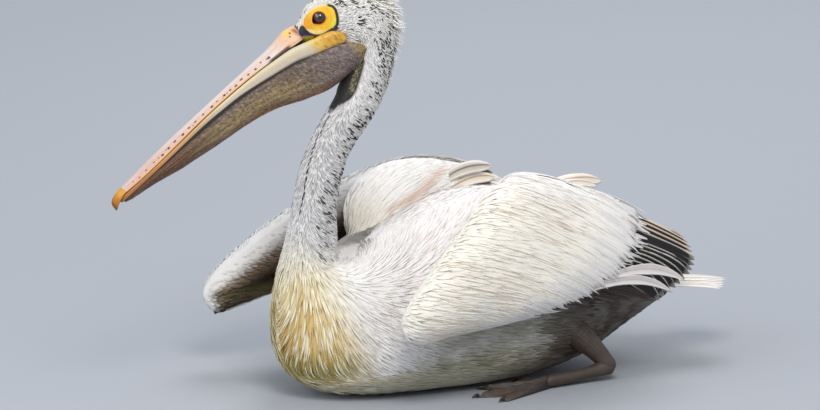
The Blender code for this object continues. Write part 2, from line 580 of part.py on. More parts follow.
for side, rows, tips, mirror in (("left", WING_LEFT, FLIGHT_LEFT, 1), ("right", WING_RIGHT, FLIGHT_RIGHT, -1)):
    wing = loft("wing_" + side, wing_rings(rows, mirror, 15, 8), plume, thin=True)
    wing_cut = loft("cut_wing_" + side, wing_rings(rows, mirror, 15, 8, GAP), None, True, True)
    clear_body(wing)
    flight = loft("flight_feathers_" + side, flight_rings(rows, tips, mirror, 7), dark_quill, thin=True)
    clear_body(flight)
    boolean(flight, wing_cut)
    PIECES["wing_" + side], PIECES["flight_feathers_" + side] = wing, flight

# ---------------------------------------------------------------------------
# Scapulars: the feathered shoulder and upper arm that carry the raised right wing
# ---------------------------------------------------------------------------
turns = np.linspace(0, 2 * math.pi, 11, endpoint=False)
rows_at = np.linspace(0, len(SHOULDER) - 1, 10)
scapulars = loft("scapulars_right", shoulder(rows_at[:, None], turns[None, :]), plume)
clear_body(scapulars)
boolean(scapulars, bpy.data.objects["cut_wing_right"])
PIECES["scapulars_right"] = scapulars
loft("cut_scapulars", shoulder(rows_at[:, None], turns[None, :], GAP), None, True, False)

# ---------------------------------------------------------------------------
# Tertials: the long inner feathers that stand up from each elbow
# ---------------------------------------------------------------------------
TERTIALS = {  # root, middle and tip of the blade, half width, lean of its flat side
    "left": ((0.056, 0.090, 0.2440), (0.032, 0.160, 0.2520), (0.014, 0.2060, 0.2360), 0.018, 0.55),
    "right": ((-0.040, 0.014, 0.2435), (-0.040, 0.050, 0.2535), (-0.040, 0.0810, 0.2485), 0.017, -0.60),
}
for side, (root, middle, tip, wide, lean) in TERTIALS.items():
    k = np.linspace(0, 1, 8)[:, None]
    line = np.array(root) * (1 - k) ** 2 + 2 * np.array(middle) * k * (1 - k) + np.array(tip) * k * k
    run = unit(np.gradient(line, axis=0))
    across = unit(np.cross(run, np.array([0.0, 0.0, 1.0])))
    out = np.cross(across, run)
    flat_dir = across * math.cos(lean) + out * math.sin(lean)
    thick_dir = np.cross(run, flat_dir)
    width = wide * np.array([0.55, 0.8, 0.95, 1.0, 0.98, 0.86, 0.60, 0.12])
    a = np.linspace(0, 2 * math.pi, 10, endpoint=False)
    rings = [p + np.cos(a)[:, None] * f * w + np.sin(a)[:, None] * n * 0.0016
             for p, f, n, w in zip(line, flat_dir, thick_dir, width)]
    blade = loft("tertials_" + side, rings, plume)
    clear_body(blade)
    for cutter in ("cut_wing_left", "cut_wing_right", "cut_scapulars"):
        boolean(blade, bpy.data.objects[cutter])
    PIECES["tertials_" + side] = blade

# ---------------------------------------------------------------------------
# Tail: leaves the rump in its full section and flattens into a short fan
# ---------------------------------------------------------------------------
TAIL = [  # y, z, half width, half thickness
    (0.2900, 0.0955, 0.0330, 0.0150), (0.3050, 0.0945, 0.0350, 0.0110), (0.3220, 0.0930, 0.0375, 0.0072),
    (0.3450, 0.0905, 0.0400, 0.0042), (0.3640, 0.0885, 0.0400, 0.0028), (0.3760, 0.0872, 0.0340, 0.0020),
    (0.3840, 0.0864, 0.0220, 0.0015), (0.3885, 0.0858, 0.0070, 0.0010),
]


def tail_rings(n, count):
    a = np.linspace(0, 2 * math.pi, count, endpoint=False)
    start = body(27.0 + SEAM, a, 0.0)
    rings = [start]
    for i, (y, z, w, k) in enumerate(refine(TAIL, n)[1:], 1):
        x = w * np.sin(a)
        zz = z + k * np.sign(np.cos(a)) * np.abs(np.cos(a)) ** 0.8 - 1.2 * x * x
        f = smooth(i, 0, 4)
        yy = y + (1 - f) * (start[:, 1] - 0.289)
        rings.append(np.stack([x, yy, zz], -1))
    return np.array(rings)


PIECES["tail"] = loft("tail", tail_rings(9, 16), plume)

# ---------------------------------------------------------------------------
# Legs and webbed feet, tucked flat beside the belly
# ---------------------------------------------------------------------------
leg_skin = material("Leg skin", (0.16, 0.13, 0.12), 0.6)
claw_horn = material("Claw horn", (0.06, 0.05, 0.05), 0.4)
TOE_BASE = (0.103, 0.088)
TOES = [(-58.0, 0.046), (-20.0, 0.084), (3.0, 0.106), (23.0, 0.096)]   # angle from -Y towards the outside, length
ANKLE = (0.098, 0.168, 0.0215)


def tube(name, path, radii, mat, sides=12, guide=False, h=0.0, flatten=1.0):
    path = np.asarray(path, float)
    run = unit(np.gradient(path, axis=0))
    ref = np.array([0.0, 0.0, 1.0]) if abs(run[0][2]) < 0.8 else np.array([1.0, 0.0, 0.0])
    a = np.linspace(0, 2 * math.pi, sides, endpoint=False)
    rings = []
    for p, d, r in zip(path, run, radii):
        u = unit(np.cross(d, ref))
        v = np.cross(u, d)
        rings.append(p + (r + h) * (np.cos(a)[:, None] * u + flatten * np.sin(a)[:, None] * v))
    return loft(name, rings, mat, guide)


def toe_radius(theta):
    """Reach of the web's edge at an angle, with a hollow margin between the toes."""
    ang = np.array([t[0] for t in TOES])
    reach = np.array([t[1] for t in TOES])
    th = np.clip(theta, ang[0], ang[-1])
    i = int(np.clip(np.searchsorted(ang, th) - 1, 0, len(ang) - 2))
    f = (th - ang[i]) / (ang[i + 1] - ang[i])
    r = reach[i] + (reach[i + 1] - reach[i]) * f
    return r * (1 - 0.22 * math.sin(math.pi * f) ** 1.0), f


def foot_solid(name, mirror, mat, guide=False, h=0.0):
    """Web and toes in one: flat below, with a rounded ridge along each toe."""
    ang = []
    for (a0, _), (a1, _) in zip(TOES[:-1], TOES[1:]):
        ang += list(a0 + (a1 - a0) * np.array([0.0, 0.13, 0.5, 0.87]))
    ang.append(TOES[-1][0])
    ang = [TOES[0][0] - 4.0] + ang + [TOES[-1][0] + 3.0]
    steps = np.array([0.0, 0.16, 0.45, 0.80, 1.0])
    bm = bmesh.new()
    top, low = [], []
    for a in ang:
        reach, f = toe_radius(a)
        near = min(abs(a - t[0]) for t in TOES)
        edge = min(1.0, (abs(a - np.clip(a, TOES[0][0], TOES[-1][0])) / 4.0))
        row_t, row_l = [], []
        for s in steps:
            r = 0.004 + (reach + h) * s * (1 - 0.05 * edge)
            x = TOE_BASE[0] + r * math.sin(math.radians(a))
            y = TOE_BASE[1] - r * math.cos(math.radians(a))
            arc = r * math.radians(near)
            wide = 0.0054 - 0.0026 * s
            ridge = (0.0105 - 0.0055 * s) * math.exp(-(arc / wide) ** 2)
            z = 0.0022 + ridge * (1 - smooth(s, 0.90, 1.0) * 0.75) + 0.0035 * (1 - smooth(s, 0, 0.3))
            row_t.append(bm.verts.new((mirror * x, y, z + h)))
            row_l.append(bm.verts.new((mirror * x, y, 0.0 - h)))
        top.append(row_t)
        low.append(row_l)
    for i in range(len(ang) - 1):
        for j in range(len(steps) - 1):
            bm.faces.new((top[i][j], top[i][j + 1], top[i + 1][j + 1], top[i + 1][j]))
            bm.faces.new((low[i][j], low[i + 1][j], low[i + 1][j + 1], low[i][j + 1]))
        bm.faces.new((top[i][-1], low[i][-1], low[i + 1][-1], top[i + 1][-1]))
        bm.faces.new((low[i][0], top[i][0], top[i + 1][0], low[i + 1][0]))
    for j in range(len(steps) - 1):
        bm.faces.new((low[0][j], low[0][j + 1], top[0][j + 1], top[0][j]))
        bm.faces.new((top[-1][j], top[-1][j + 1], low[-1][j + 1], low[-1][j]))
    bmesh.ops.remove_doubles(bm, verts=bm.verts, dist=2e-6)
    bmesh.ops.recalc_face_normals(bm, faces=bm.faces)
    bmesh.ops.triangulate(bm, faces=bm.faces)
    if bm.calc_volume(signed=True) < 0:
        bmesh.ops.reverse_faces(bm, faces=bm.faces)
    return finish_mesh(name, bm, mat, guide)


for side, mirror in (("left", 1), ("right", -1)):
    m = np.array([mirror, 1, 1])
    foot = foot_solid("foot_" + side, mirror, leg_skin)
    foot_cut = foot_solid("cut_foot_" + side, mirror, None, True, GAP)
    ankle = np.array(ANKLE)
    tibia = np.array([(0.070, 0.118, 0.075), (0.082, 0.140, 0.055), (0.091, 0.157, 0.036), ankle, ankle + (0.002, 0.009, -0.006)])
    tarsus = np.array([ankle + (0.0, 0.008, -0.004), ankle + (0.0, 0.000, -0.004), (0.0995, 0.140, 0.0135),
                       (0.101, 0.112, 0.0110), (0.1025, 0.0900, 0.0100), (0.1030, 0.0760, 0.0085)])
    leg = tube("leg_" + side, tibia * m, (0.0210, 0.0170, 0.0125, 0.0105, 0.0060), leg_skin, sides=8)
    shin = tube("guide_tarsus_" + side, tarsus * m, (0.0070, 0.0105, 0.0076, 0.0074, 0.0078, 0.0060), None, sides=8, guide=True)
    boolean(leg, shin, "UNION")
    clear_body(leg)
    boolean(leg, foot_cut)
    PIECES["leg_" + side], PIECES["foot_" + side] = leg, foot
    clear_body(foot)
    for number, (angle, reach) in enumerate(TOES, 1):
        a = math.radians(angle)
        d = np.array([math.sin(a), -math.cos(a), 0.0])
        start = np.array([TOE_BASE[0], TOE_BASE[1], 0.0]) + d * (reach + 0.004 + 2.5 * GAP)
        path = np.array([start + (0, 0, 0.0030), start + d * 0.0035 + (0, 0, 0.0036), start + d * 0.0070 + (0, 0, 0.0026),
                         start + d * 0.0092 + (0, 0, 0.0010)])
        claw = tube("claw_%s_%d" % (side, number), path * m, (0.0024, 0.0021, 0.0013, 0.0004), claw_horn, 5)
        boolean(claw, foot_cut)
        PIECES["claw_%s_%d" % (side, number)] = claw

for piece in PIECES.values():
    if piece.modifiers:
        settle(piece)
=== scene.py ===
"""Looks of the spot-billed pelican: skin, feathers, bill, pouch, eyes and feet
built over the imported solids, with a floor, studio lights and a camera."""

import math

import bmesh
import bpy
import numpy as np
from mathutils import Matrix, Vector


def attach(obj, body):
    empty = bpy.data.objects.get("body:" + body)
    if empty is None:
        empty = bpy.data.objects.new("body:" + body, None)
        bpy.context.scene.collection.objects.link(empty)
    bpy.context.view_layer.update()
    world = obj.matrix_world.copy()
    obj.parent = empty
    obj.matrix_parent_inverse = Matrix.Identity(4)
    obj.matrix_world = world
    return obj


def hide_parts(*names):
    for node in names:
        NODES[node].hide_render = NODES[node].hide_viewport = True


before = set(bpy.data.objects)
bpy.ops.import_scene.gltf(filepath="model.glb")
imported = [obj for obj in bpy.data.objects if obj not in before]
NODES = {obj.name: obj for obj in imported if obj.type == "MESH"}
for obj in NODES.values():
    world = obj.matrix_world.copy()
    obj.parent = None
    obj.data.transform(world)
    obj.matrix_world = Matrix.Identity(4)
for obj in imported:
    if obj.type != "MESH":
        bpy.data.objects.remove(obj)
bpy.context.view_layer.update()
RNG = np.random.default_rng(20)

# ---------------------------------------------------------------------------
# Form of the bird, in metres. It faces -Y, its left side is +X, +Z is up, and
# the belly rests on Z = 0.
# ---------------------------------------------------------------------------
WATERLINE = 0.067          # level to which a floating bird sinks
HEAD_TURN = math.radians(13.0)   # the head looks a little to the bird's right
HEAD_PIVOT_Y = -0.12       # the head turns about an upright axis here
BILL_PITCH = math.radians(40.6)  # the closed bill points down by this much
BILL_ORIGIN = (-0.220, 0.4530)   # (y, z) of the cutting edge at the bill's base
EYE_CENTRE = (0.0130, -0.1853, 0.4827)  # left eye, before the head turns
EYE_RADIUS = 0.0110
GAP = 0.0003


def spline(table, x):
    """Smooth curve through the rows of a table, read at fractional row numbers x."""
    t = np.asarray(table, float)
    n = len(t)
    x = np.clip(np.asarray(x, float), 0, n - 1)
    i = np.minimum(x.astype(int), n - 2)
    f = (x - i)[..., None]
    p1, p2 = t[i], t[i + 1]
    p0 = np.where((i == 0)[..., None], 2 * p1 - p2, t[np.maximum(i - 1, 0)])
    p3 = np.where((i == n - 2)[..., None], 2 * p2 - p1, t[np.minimum(i + 2, n - 1)])
    return 0.5 * (2 * p1 + (p2 - p0) * f + (2 * p0 - 5 * p1 + 4 * p2 - p3) * f * f
                  + (3 * p1 - p0 - 3 * p2 + p3) * f ** 3)


def smooth(x, a, b):
    """0 below a, 1 above b, eased in between."""
    t = np.clip((np.asarray(x, float) - a) / (b - a), 0, 1)
    return t * t * (3 - 2 * t)


def unit(v):
    return v / np.maximum(np.linalg.norm(v, axis=-1, keepdims=True), 1e-12)


# Stations of the head, neck and trunk, from the bill's base to the tail's root:
# y, z of the upper (dorsal) edge; y, z of the lower (ventral) edge; half width;
# share of the way up at which it is widest; squareness of the section.
BODY = [
    (-0.2125, 0.4690, -0.2105, 0.4490, 0.0135, 0.50, 2.0),   # 0 bill's base
    (-0.2018, 0.4878, -0.1990, 0.4460, 0.0200, 0.52, 2.1),   # 1 forehead
    (-0.1860, 0.5035, -0.1830, 0.4420, 0.0240, 0.52, 2.1),   # 2 eyes
    (-0.1600, 0.5115, -0.1640, 0.4380, 0.0262, 0.52, 2.1),   # 3 crown
    (-0.1300, 0.5105, -0.1520, 0.4330, 0.0277, 0.54, 2.1),   # 4
    (-0.1030, 0.5010, -0.1470, 0.4260, 0.0285, 0.55, 2.1),   # 5 back of the head
    (-0.0850, 0.4790, -0.1455, 0.4170, 0.0280, 0.55, 2.1),   # 6 nape
    (-0.0835, 0.4480, -0.1490, 0.4085, 0.0270, 0.55, 2.0),   # 7
    (-0.0895, 0.4150, -0.1535, 0.3985, 0.0262, 0.52, 2.0),   # 8 neck
    (-0.0990, 0.3820, -0.1590, 0.3860, 0.0255, 0.50, 2.0),   # 9
    (-0.1140, 0.3510, -0.1640, 0.3740, 0.0250, 0.50, 2.0),   # 10
    (-0.1460, 0.3095, -0.1912, 0.3340, 0.0250, 0.50, 2.0),   # 11
    (-0.1611, 0.2735, -0.2129, 0.2889, 0.0262, 0.50, 2.0),   # 12
    (-0.1680, 0.2300, -0.2243, 0.2360, 0.0285, 0.50, 2.0),   # 13
    (-0.1680, 0.1780, -0.2355, 0.1900, 0.0340, 0.48, 2.0),   # 14 neck's foot
    (-0.1520, 0.1745, -0.2430, 0.1550, 0.0450, 0.46, 2.0),   # 15
    (-0.1300, 0.1880, -0.2480, 0.1120, 0.0600, 0.45, 2.0),   # 16 breast
    (-0.1020, 0.2060, -0.2460, 0.0680, 0.0765, 0.45, 2.0),   # 17
    (-0.0700, 0.2210, -0.2290, 0.0310, 0.0930, 0.44, 2.1),   # 18
    (-0.0330, 0.2330, -0.1880, 0.0060, 0.1050, 0.43, 2.2),   # 19
    (0.0050, 0.2400, -0.1200, -0.0030, 0.1140, 0.42, 2.3),   # 20
    (0.0450, 0.2410, -0.0400, -0.0055, 0.1155, 0.42, 2.3),   # 21
    (0.0900, 0.2340, 0.0450, -0.0040, 0.1120, 0.42, 2.2),    # 22
    (0.1350, 0.2180, 0.1150, 0.0030, 0.1000, 0.44, 2.1),     # 23
    (0.1800, 0.1920, 0.1720, 0.0180, 0.0820, 0.46, 2.1),     # 24
    (0.2200, 0.1600, 0.2200, 0.0420, 0.0620, 0.48, 2.1),     # 25
    (0.2550, 0.1310, 0.2620, 0.0640, 0.0450, 0.50, 2.2),     # 26
    (0.2850, 0.1110, 0.2930, 0.0800, 0.0330, 0.50, 2.3),     # 27 tail's root
]


def turn_head(p, s):
    """Turns points at station s of the body about the upright axis of the head."""
    a = -HEAD_TURN * (1 - smooth(s, 7.0, 12.5))
    x, y = p[..., 0], p[..., 1] - HEAD_PIVOT_Y
    q = np.array(p, float)
    q[..., 0] = x * np.cos(a) - y * np.sin(a)
    q[..., 1] = x * np.sin(a) + y * np.cos(a) + HEAD_PIVOT_Y
    return q


def head_face(s, phi):
    """Modelling of the head: cheeks, brow and the flat round the eye, as an offset."""
    side = np.abs(np.sin(phi))
    up = np.cos(phi)
    cheek = 0.0022 * np.exp(-((s - 4.3) / 1.3) ** 2 - ((up + 0.35) / 0.5) ** 2) * side
    brow = 0.0016 * np.exp(-((s - 2.1) / 0.9) ** 2 - ((up - 0.72) / 0.22) ** 2)
    socket = -0.0018 * np.exp(-((s - 2.0) / 0.75) ** 2 - ((up - 0.25) / 0.42) ** 2) * side
    lores = -0.0012 * np.exp(-((s - 1.1) / 0.6) ** 2 - ((up + 0.15) / 0.5) ** 2) * side
    return cheek + brow + socket + lores


def body(s, phi, h=0.0):
    """Point of the body at station s and angle phi round it (0 on the back, a
    quarter turn on the left side), h outside its outline."""
    s, phi, h = np.broadcast_arrays(np.asarray(s, float), np.asarray(phi, float), np.asarray(h, float))
    r = spline(BODY, s)
    top, low, w, k, n = r[..., 0:2], r[..., 2:4], r[..., 4], r[..., 5], r[..., 6]
    c = low + (top - low) * k[..., None]
    length = np.linalg.norm(top - low, axis=-1)
    up = (top - low) / length[..., None]
    h = h + head_face(s, phi)
    hu, hd, ww = (1 - k) * length + h, k * length + h, w + h
    cs, sn = np.cos(phi), np.sin(phi)
    a = np.sign(cs) * np.abs(cs) ** (2 / n) * np.where(cs > 0, hu, hd)
    b = np.sign(sn) * np.abs(sn) ** (2 / n) * ww
    p = np.stack([b, c[..., 0] + up[..., 0] * a, c[..., 1] + up[..., 1] * a], -1)
    return turn_head(p, s)


def bill(l, x, h):
    """Point of the bill: l along it from the base, x to the left, h above the
    cutting edges' line."""
    l, x, h = np.broadcast_arrays(np.asarray(l, float), np.asarray(x, float), np.asarray(h, float))
    ca, sa = math.cos(BILL_PITCH), math.sin(BILL_PITCH)
    y = BILL_ORIGIN[0] - l * ca - h * sa
    z = BILL_ORIGIN[1] - l * sa + h * ca
    return turn_head(np.stack([x, y, z], -1), np.zeros(l.shape))


# Upper half of the bill: l, cutting edge, ridge, half width.
UPPER = [
    (-0.0140, -0.0070, 0.0105, 0.0150), (0.0000, -0.0046, 0.0138, 0.0172), (0.0120, -0.0026, 0.0128, 0.0165),
    (0.0300, -0.0006, 0.0104, 0.0152), (0.0600, 0.0020, 0.0102, 0.0138), (0.1000, 0.0040, 0.0103, 0.0128),
    (0.1500, 0.0044, 0.0100, 0.0128), (0.1850, 0.0036, 0.0100, 0.0144), (0.2150, 0.0028, 0.0094, 0.0154),
    (0.2400, 0.0022, 0.0084, 0.0152), (0.2620, 0.0017, 0.0074, 0.0134), (0.2800, 0.0012, 0.0070, 0.0100),
]
# The hooked nail at its tip: l, lower edge, upper edge, half width.
NAIL = [
    (0.2803, 0.0012, 0.0071, 0.0097), (0.2860, 0.0002, 0.0070, 0.0084), (0.2920, -0.0024, 0.0060, 0.0074),
    (0.2975, -0.0058, 0.0042, 0.0062), (0.3020, -0.0090, 0.0006, 0.0046), (0.3036, -0.0102, -0.0040, 0.0026),
]
# Side bars of the lower half: l, upper edge, lower edge, middle of the bar from the centre, half thickness.
RAMUS = [
    (-0.0535, -0.0326, -0.0385, 0.0252, 0.0028), (-0.0500, -0.0266, -0.0420, 0.0256, 0.0050),
    (-0.0420, -0.0198, -0.0410, 0.0258, 0.0060), (-0.0240, -0.0134, -0.0336, 0.0246, 0.0052),
    (0.0000, -0.0062, -0.0258, 0.0210, 0.0047), (0.0120, -0.0034, -0.0222, 0.0190, 0.0046),
    (0.0300, -0.0014, -0.0182, 0.0172, 0.0043), (0.0500, 0.0006, -0.0144, 0.0158, 0.0039),
    (0.0700, 0.0019, -0.0104, 0.0148, 0.0034), (0.0950, 0.0031, -0.0060, 0.0141, 0.0028),
    (0.1250, 0.0037, -0.0036, 0.0137, 0.0025), (0.1500, 0.0036, -0.0024, 0.0136, 0.0023),
    (0.1850, 0.0028, -0.0024, 0.0146, 0.0022), (0.2150, 0.0021, -0.0028, 0.0152, 0.0022),
    (0.2400, 0.0015, -0.0034, 0.0144, 0.0022), (0.2620, 0.0009, -0.0042, 0.0120, 0.0022),
    (0.2780, 0.0000, -0.0054, 0.0084, 0.0022), (0.2860, -0.0008, -0.0068, 0.0046, 0.0022),
    (0.2905, -0.0018, -0.0080, 0.0000, 0.0022),
]
# The skin pouch under it: l, upper edge (between the bars), lower edge, half width, squareness.
POUCH = [
    (-0.0705, -0.0660, -0.0715, 0.0120, 2.0), (-0.0680, -0.0630, -0.0770, 0.0215, 2.0),
    (-0.0600, -0.0575, -0.0815, 0.0268, 2.1), (-0.0480, -0.0462, -0.0850, 0.0288, 2.2),
    (-0.0300, -0.0335, -0.0855, 0.0276, 2.2), (0.0000, -0.0215, -0.0832, 0.0236, 2.2),
    (0.0300, -0.0142, -0.0744, 0.0200, 2.1), (0.0500, -0.0114, -0.0648, 0.0184, 2.0),
    (0.0720, -0.0076, -0.0538, 0.0172, 2.0), (0.1000, -0.0042, -0.0466, 0.0162, 1.9),
    (0.1400, -0.0018, -0.0400, 0.0155, 1.9), (0.1800, -0.0010, -0.0328, 0.0160, 1.9),
    (0.2150, -0.0012, -0.0258, 0.0160, 1.9), (0.2450, -0.0018, -0.0190, 0.0142, 1.9),
    (0.2640, -0.0024, -0.0156, 0.0108, 1.9), (0.2790, -0.0036, -0.0130, 0.0066, 1.9),
    (0.2885, -0.0056, -0.0104, 0.0026, 2.0),
]

# Wings, half open: each row is a chord of the wing, from the body outwards.
# Front edge x, y, z; hind edge of the coverts x, y, z; lean of the outward
# direction from upright, in degrees; two bulges; arm's half thickness.
WING_LEFT = [
    (0.028, 0.044, 0.2340, 0.024, 0.230, 0.1720, 8, 0.012, 0.014, 0.0060),
    (0.067, 0.032, 0.2600, 0.070, 0.244, 0.1920, 24, 0.026, 0.032, 0.0110),
    (0.097, -0.014, 0.2465, 0.100, 0.228, 0.1690, 46, 0.032, 0.038, 0.0150),
    (0.122, -0.060, 0.2130, 0.122, 0.198, 0.1490, 62, 0.035, 0.040, 0.0165),
    (0.138, -0.108, 0.1730, 0.134, 0.146, 0.1280, 76, 0.032, 0.038, 0.0170),
    (0.148, -0.143, 0.1370, 0.138, 0.080, 0.1120, 86, 0.026, 0.029, 0.0165),
    (0.146, -0.151, 0.1100, 0.136, 0.006, 0.1010, 98, 0.019, 0.019, 0.0140),
    (0.138, -0.129, 0.0915, 0.128, -0.052, 0.0945, 110, 0.006, 0.006, 0.0085),
]
WING_RIGHT = [
    (0.028, 0.052, 0.2310, 0.024, 0.226, 0.1720, 8, 0.000, 0.000, 0.0060),
    (0.078, 0.042, 0.2540, 0.074, 0.250, 0.1760, 22, -0.012, -0.010, 0.0110),
    (0.113, -0.018, 0.2530, 0.122, 0.246, 0.1640, 40, 0.010, 0.014, 0.0160),
    (0.144, -0.083, 0.2250, 0.158, 0.204, 0.1480, 56, 0.026, 0.032, 0.0185),
    (0.168, -0.146, 0.1870, 0.180, 0.142, 0.1280, 68, 0.030, 0.036, 0.0200),
    (0.188, -0.197, 0.1480, 0.192, 0.062, 0.1100, 78, 0.024, 0.030, 0.0205),
    (0.202, -0.245, 0.1010, 0.190, -0.030, 0.1020, 92, 0.014, 0.016, 0.0170),
    (0.194, -0.235, 0.0690, 0.177, -0.120, 0.1030, 106, 0.004, 0.005, 0.0100),
]
# The shoulder and upper arm of the raised right wing, from the foot of the neck to
# the elbow: axis x, y, z; half width; half height.
SHOULDER = [
    (0.0440, -0.1290, 0.1500, 0.0060, 0.0060), (0.0400, -0.1050, 0.1820, 0.0260, 0.0225),
    (0.0520, -0.0820, 0.2110, 0.0400, 0.0430), (0.0620, -0.0500, 0.2295, 0.0440, 0.0405),
    (0.0700, -0.0100, 0.2385, 0.0400, 0.0315), (0.0740, 0.0300, 0.2395, 0.0340, 0.0220),
    (0.0760, 0.0700, 0.2345, 0.0250, 0.0150), (0.0780, 0.1000, 0.2270, 0.0080, 0.0040),
]
WING_PANEL = 0.0022       # half thickness of the feathered part behind the arm
# Flight feathers below the coverts: tips x, y, z of the long feathers at each row.
FLIGHT_LEFT = [
    (0.030, 0.262, 0.1780), (0.066, 0.292, 0.1640), (0.086, 0.300, 0.1330), (0.100, 0.262, 0.1060),
    (0.112, 0.204, 0.0880), (0.118, 0.140, 0.0790), (0.122, 0.070, 0.0760), (0.124, 0.000, 0.0800),
]
FLIGHT_RIGHT = [
    (0.030, 0.262, 0.1780), (0.074, 0.300, 0.1640), (0.108, 0.304, 0.1360), (0.136, 0.258, 0.1140),
    (0.156, 0.196, 0.0980), (0.166, 0.120, 0.0900), (0.169, 0.030, 0.0880), (0.168, -0.050, 0.0970),
]


def pouch_section(a, top, low, w, p, h=0.0):
    """Section of the pouch: hangs from the bars, swells, and closes in a rounded keel."""
    x = (w + h) * np.sign(np.cos(a)) * np.abs(np.cos(a)) ** (2 / p) * (1 + 0.13 * np.abs(np.sin(2 * a)))
    return x, top - (top - low + h) * np.abs(np.sin(a)) ** (2 / p)


def shoulder(t, a, h=0.0):
    """Point of the right shoulder at row t and angle a round it (0 on the outer side)."""
    t, a, h = np.broadcast_arrays(np.asarray(t, float), np.asarray(a, float), np.asarray(h, float))
    r = spline(SHOULDER, t)
    run = unit(spline(SHOULDER, t + 0.05)[..., 0:3] - spline(SHOULDER, t - 0.05)[..., 0:3])
    across = unit(np.cross(run, np.array([0.0, 0.0, 1.0])))
    across = np.where(across[..., :1] < 0, -across, across)
    up = unit(np.cross(run, across))
    up = np.where(up[..., 2:] < 0, -up, up)
    p = r[..., 0:3] + across * (np.cos(a) * (r[..., 3] + h))[..., None] + up * (np.sin(a) * (r[..., 4] + h))[..., None]
    return p * np.array([-1, 1, 1])


def wing_sheet(rows, t, c):
    """Middle surface of a wing at row t and share c of the chord, and its outward
    direction. c may pass 1, where the surface runs on straight."""
    t, c = np.broadcast_arrays(np.asarray(t, float), np.asarray(c, float))
    r = spline(rows, t)
    a, d = r[..., 0:3], r[..., 3:6]
    lean = np.radians(r[..., 6])
    out = np.stack([np.sin(lean), 0 * lean, np.cos(lean)], -1)
    p1 = a + 0.30 * (d - a) + out * r[..., 7:8]
    p2 = a + 0.70 * (d - a) + out * r[..., 8:9]
    u = np.clip(c, None, 1.0)[..., None]
    p = (a * (1 - u) ** 3 + 3 * p1 * u * (1 - u) ** 2 + 3 * p2 * u * u * (1 - u) + d * u ** 3)
    return p + np.maximum(c - 1, 0)[..., None] * 3 * (d - p2)


def wing_frame(rows, t, c):
    e = 1e-3
    p = wing_sheet(rows, t, c)
    dt = wing_sheet(rows, np.asarray(t) + e, c) - wing_sheet(rows, np.asarray(t) - e, c)
    dc = wing_sheet(rows, t, np.asarray(c) + e) - wing_sheet(rows, t, np.asarray(c) - e)
    n = unit(np.cross(dc, dt))
    return p, -n, unit(dt), unit(dc)


def wing_thickness(rows, t, c):
    """Half thickness of the wing: a thick arm behind the front edge, a thin vane behind."""
    t, c = np.broadcast_arrays(np.asarray(t, float), np.asarray(c, float))
    arm = spline(rows, t)[..., 9]
    nose = np.sqrt(np.clip(1 - (1 - np.clip(c / 0.13, 0, 1)) ** 2, 0, 1))
    ends = np.sqrt(np.clip(np.minimum(t, len(rows) - 1 - t) / 0.30, 0, 1))
    return (arm * (1 - smooth(c, 0.12, 0.60)) + WING_PANEL) * nose * ends


def wing_point(rows, t, c, side, h=0.0, mirror=1):
    """Point of the wing's upper (side 1) or lower (side -1) face, h outside it."""
    p, n, _, _ = wing_frame(rows, t, c)
    th = wing_thickness(rows, t, c) + h
    return (p + n * (side * th)[..., None]) * np.array([mirror, 1, 1])

# ---------------------------------------------------------------------------
# Meshes, materials and small maths
# ---------------------------------------------------------------------------
def srgb(r, g, b):
    """Linear colour from everyday 0-255 values."""
    c = np.array([r, g, b], float) / 255.0
    return np.where(c <= 0.04045, c / 12.92, ((c + 0.055) / 1.055) ** 2.4)


def mix(a, b, f):
    f = np.asarray(f, float)[..., None]
    return a * (1 - f) + b * f


def noise3(p, scale, seed=0):
    """Smooth repeatable noise in -1..1 at points p (metres), with features of the given size."""
    q = np.asarray(p, float) / scale + 17.31 * (seed + 1)
    i = np.floor(q).astype(np.int64)
    f = q - i
    f = f * f * (3 - 2 * f)

    def value(ix, iy, iz):
        n = (ix * 374761393 + iy * 668265263 + iz * 2147483647 + seed * 974711) & 0x7FFFFFFF
        n = ((n ^ (n >> 13)) * 1274126177) & 0x7FFFFFFF
        n = (n ^ (n >> 16)) & 0xFFFFF
        return n / 524287.5 - 1.0

    total = 0.0
    for dx in (0, 1):
        for dy in (0, 1):
            for dz in (0, 1):
                w = ((f[..., 0] if dx else 1 - f[..., 0]) * (f[..., 1] if dy else 1 - f[..., 1])
                     * (f[..., 2] if dz else 1 - f[..., 2]))
                total = total + w * value(i[..., 0] + dx, i[..., 1] + dy, i[..., 2] + dz)
    return total


def inside(polygon, a, b):
    """Signed distance to a closed outline, positive inside it."""
    a, b = np.broadcast_arrays(np.asarray(a, float), np.asarray(b, float))
    near = np.full(a.shape, 1e9)
    within = np.zeros(a.shape, bool)
    n = len(polygon)
    for i in range(n):
        x0, y0 = polygon[i]
        x1, y1 = polygon[(i + 1) % n]
        ex, ey = x1 - x0, y1 - y0
        t = np.clip(((a - x0) * ex + (b - y0) * ey) / (ex * ex + ey * ey + 1e-12), 0, 1)
        near = np.minimum(near, np.hypot(a - x0 - t * ex, b - y0 - t * ey))
        crosses = (y0 > b) != (y1 > b)
        within ^= crosses & (a < x0 + ex * (b - y0) / (ey if abs(ey) > 1e-12 else 1e-12))
    return np.where(within, near, -near)


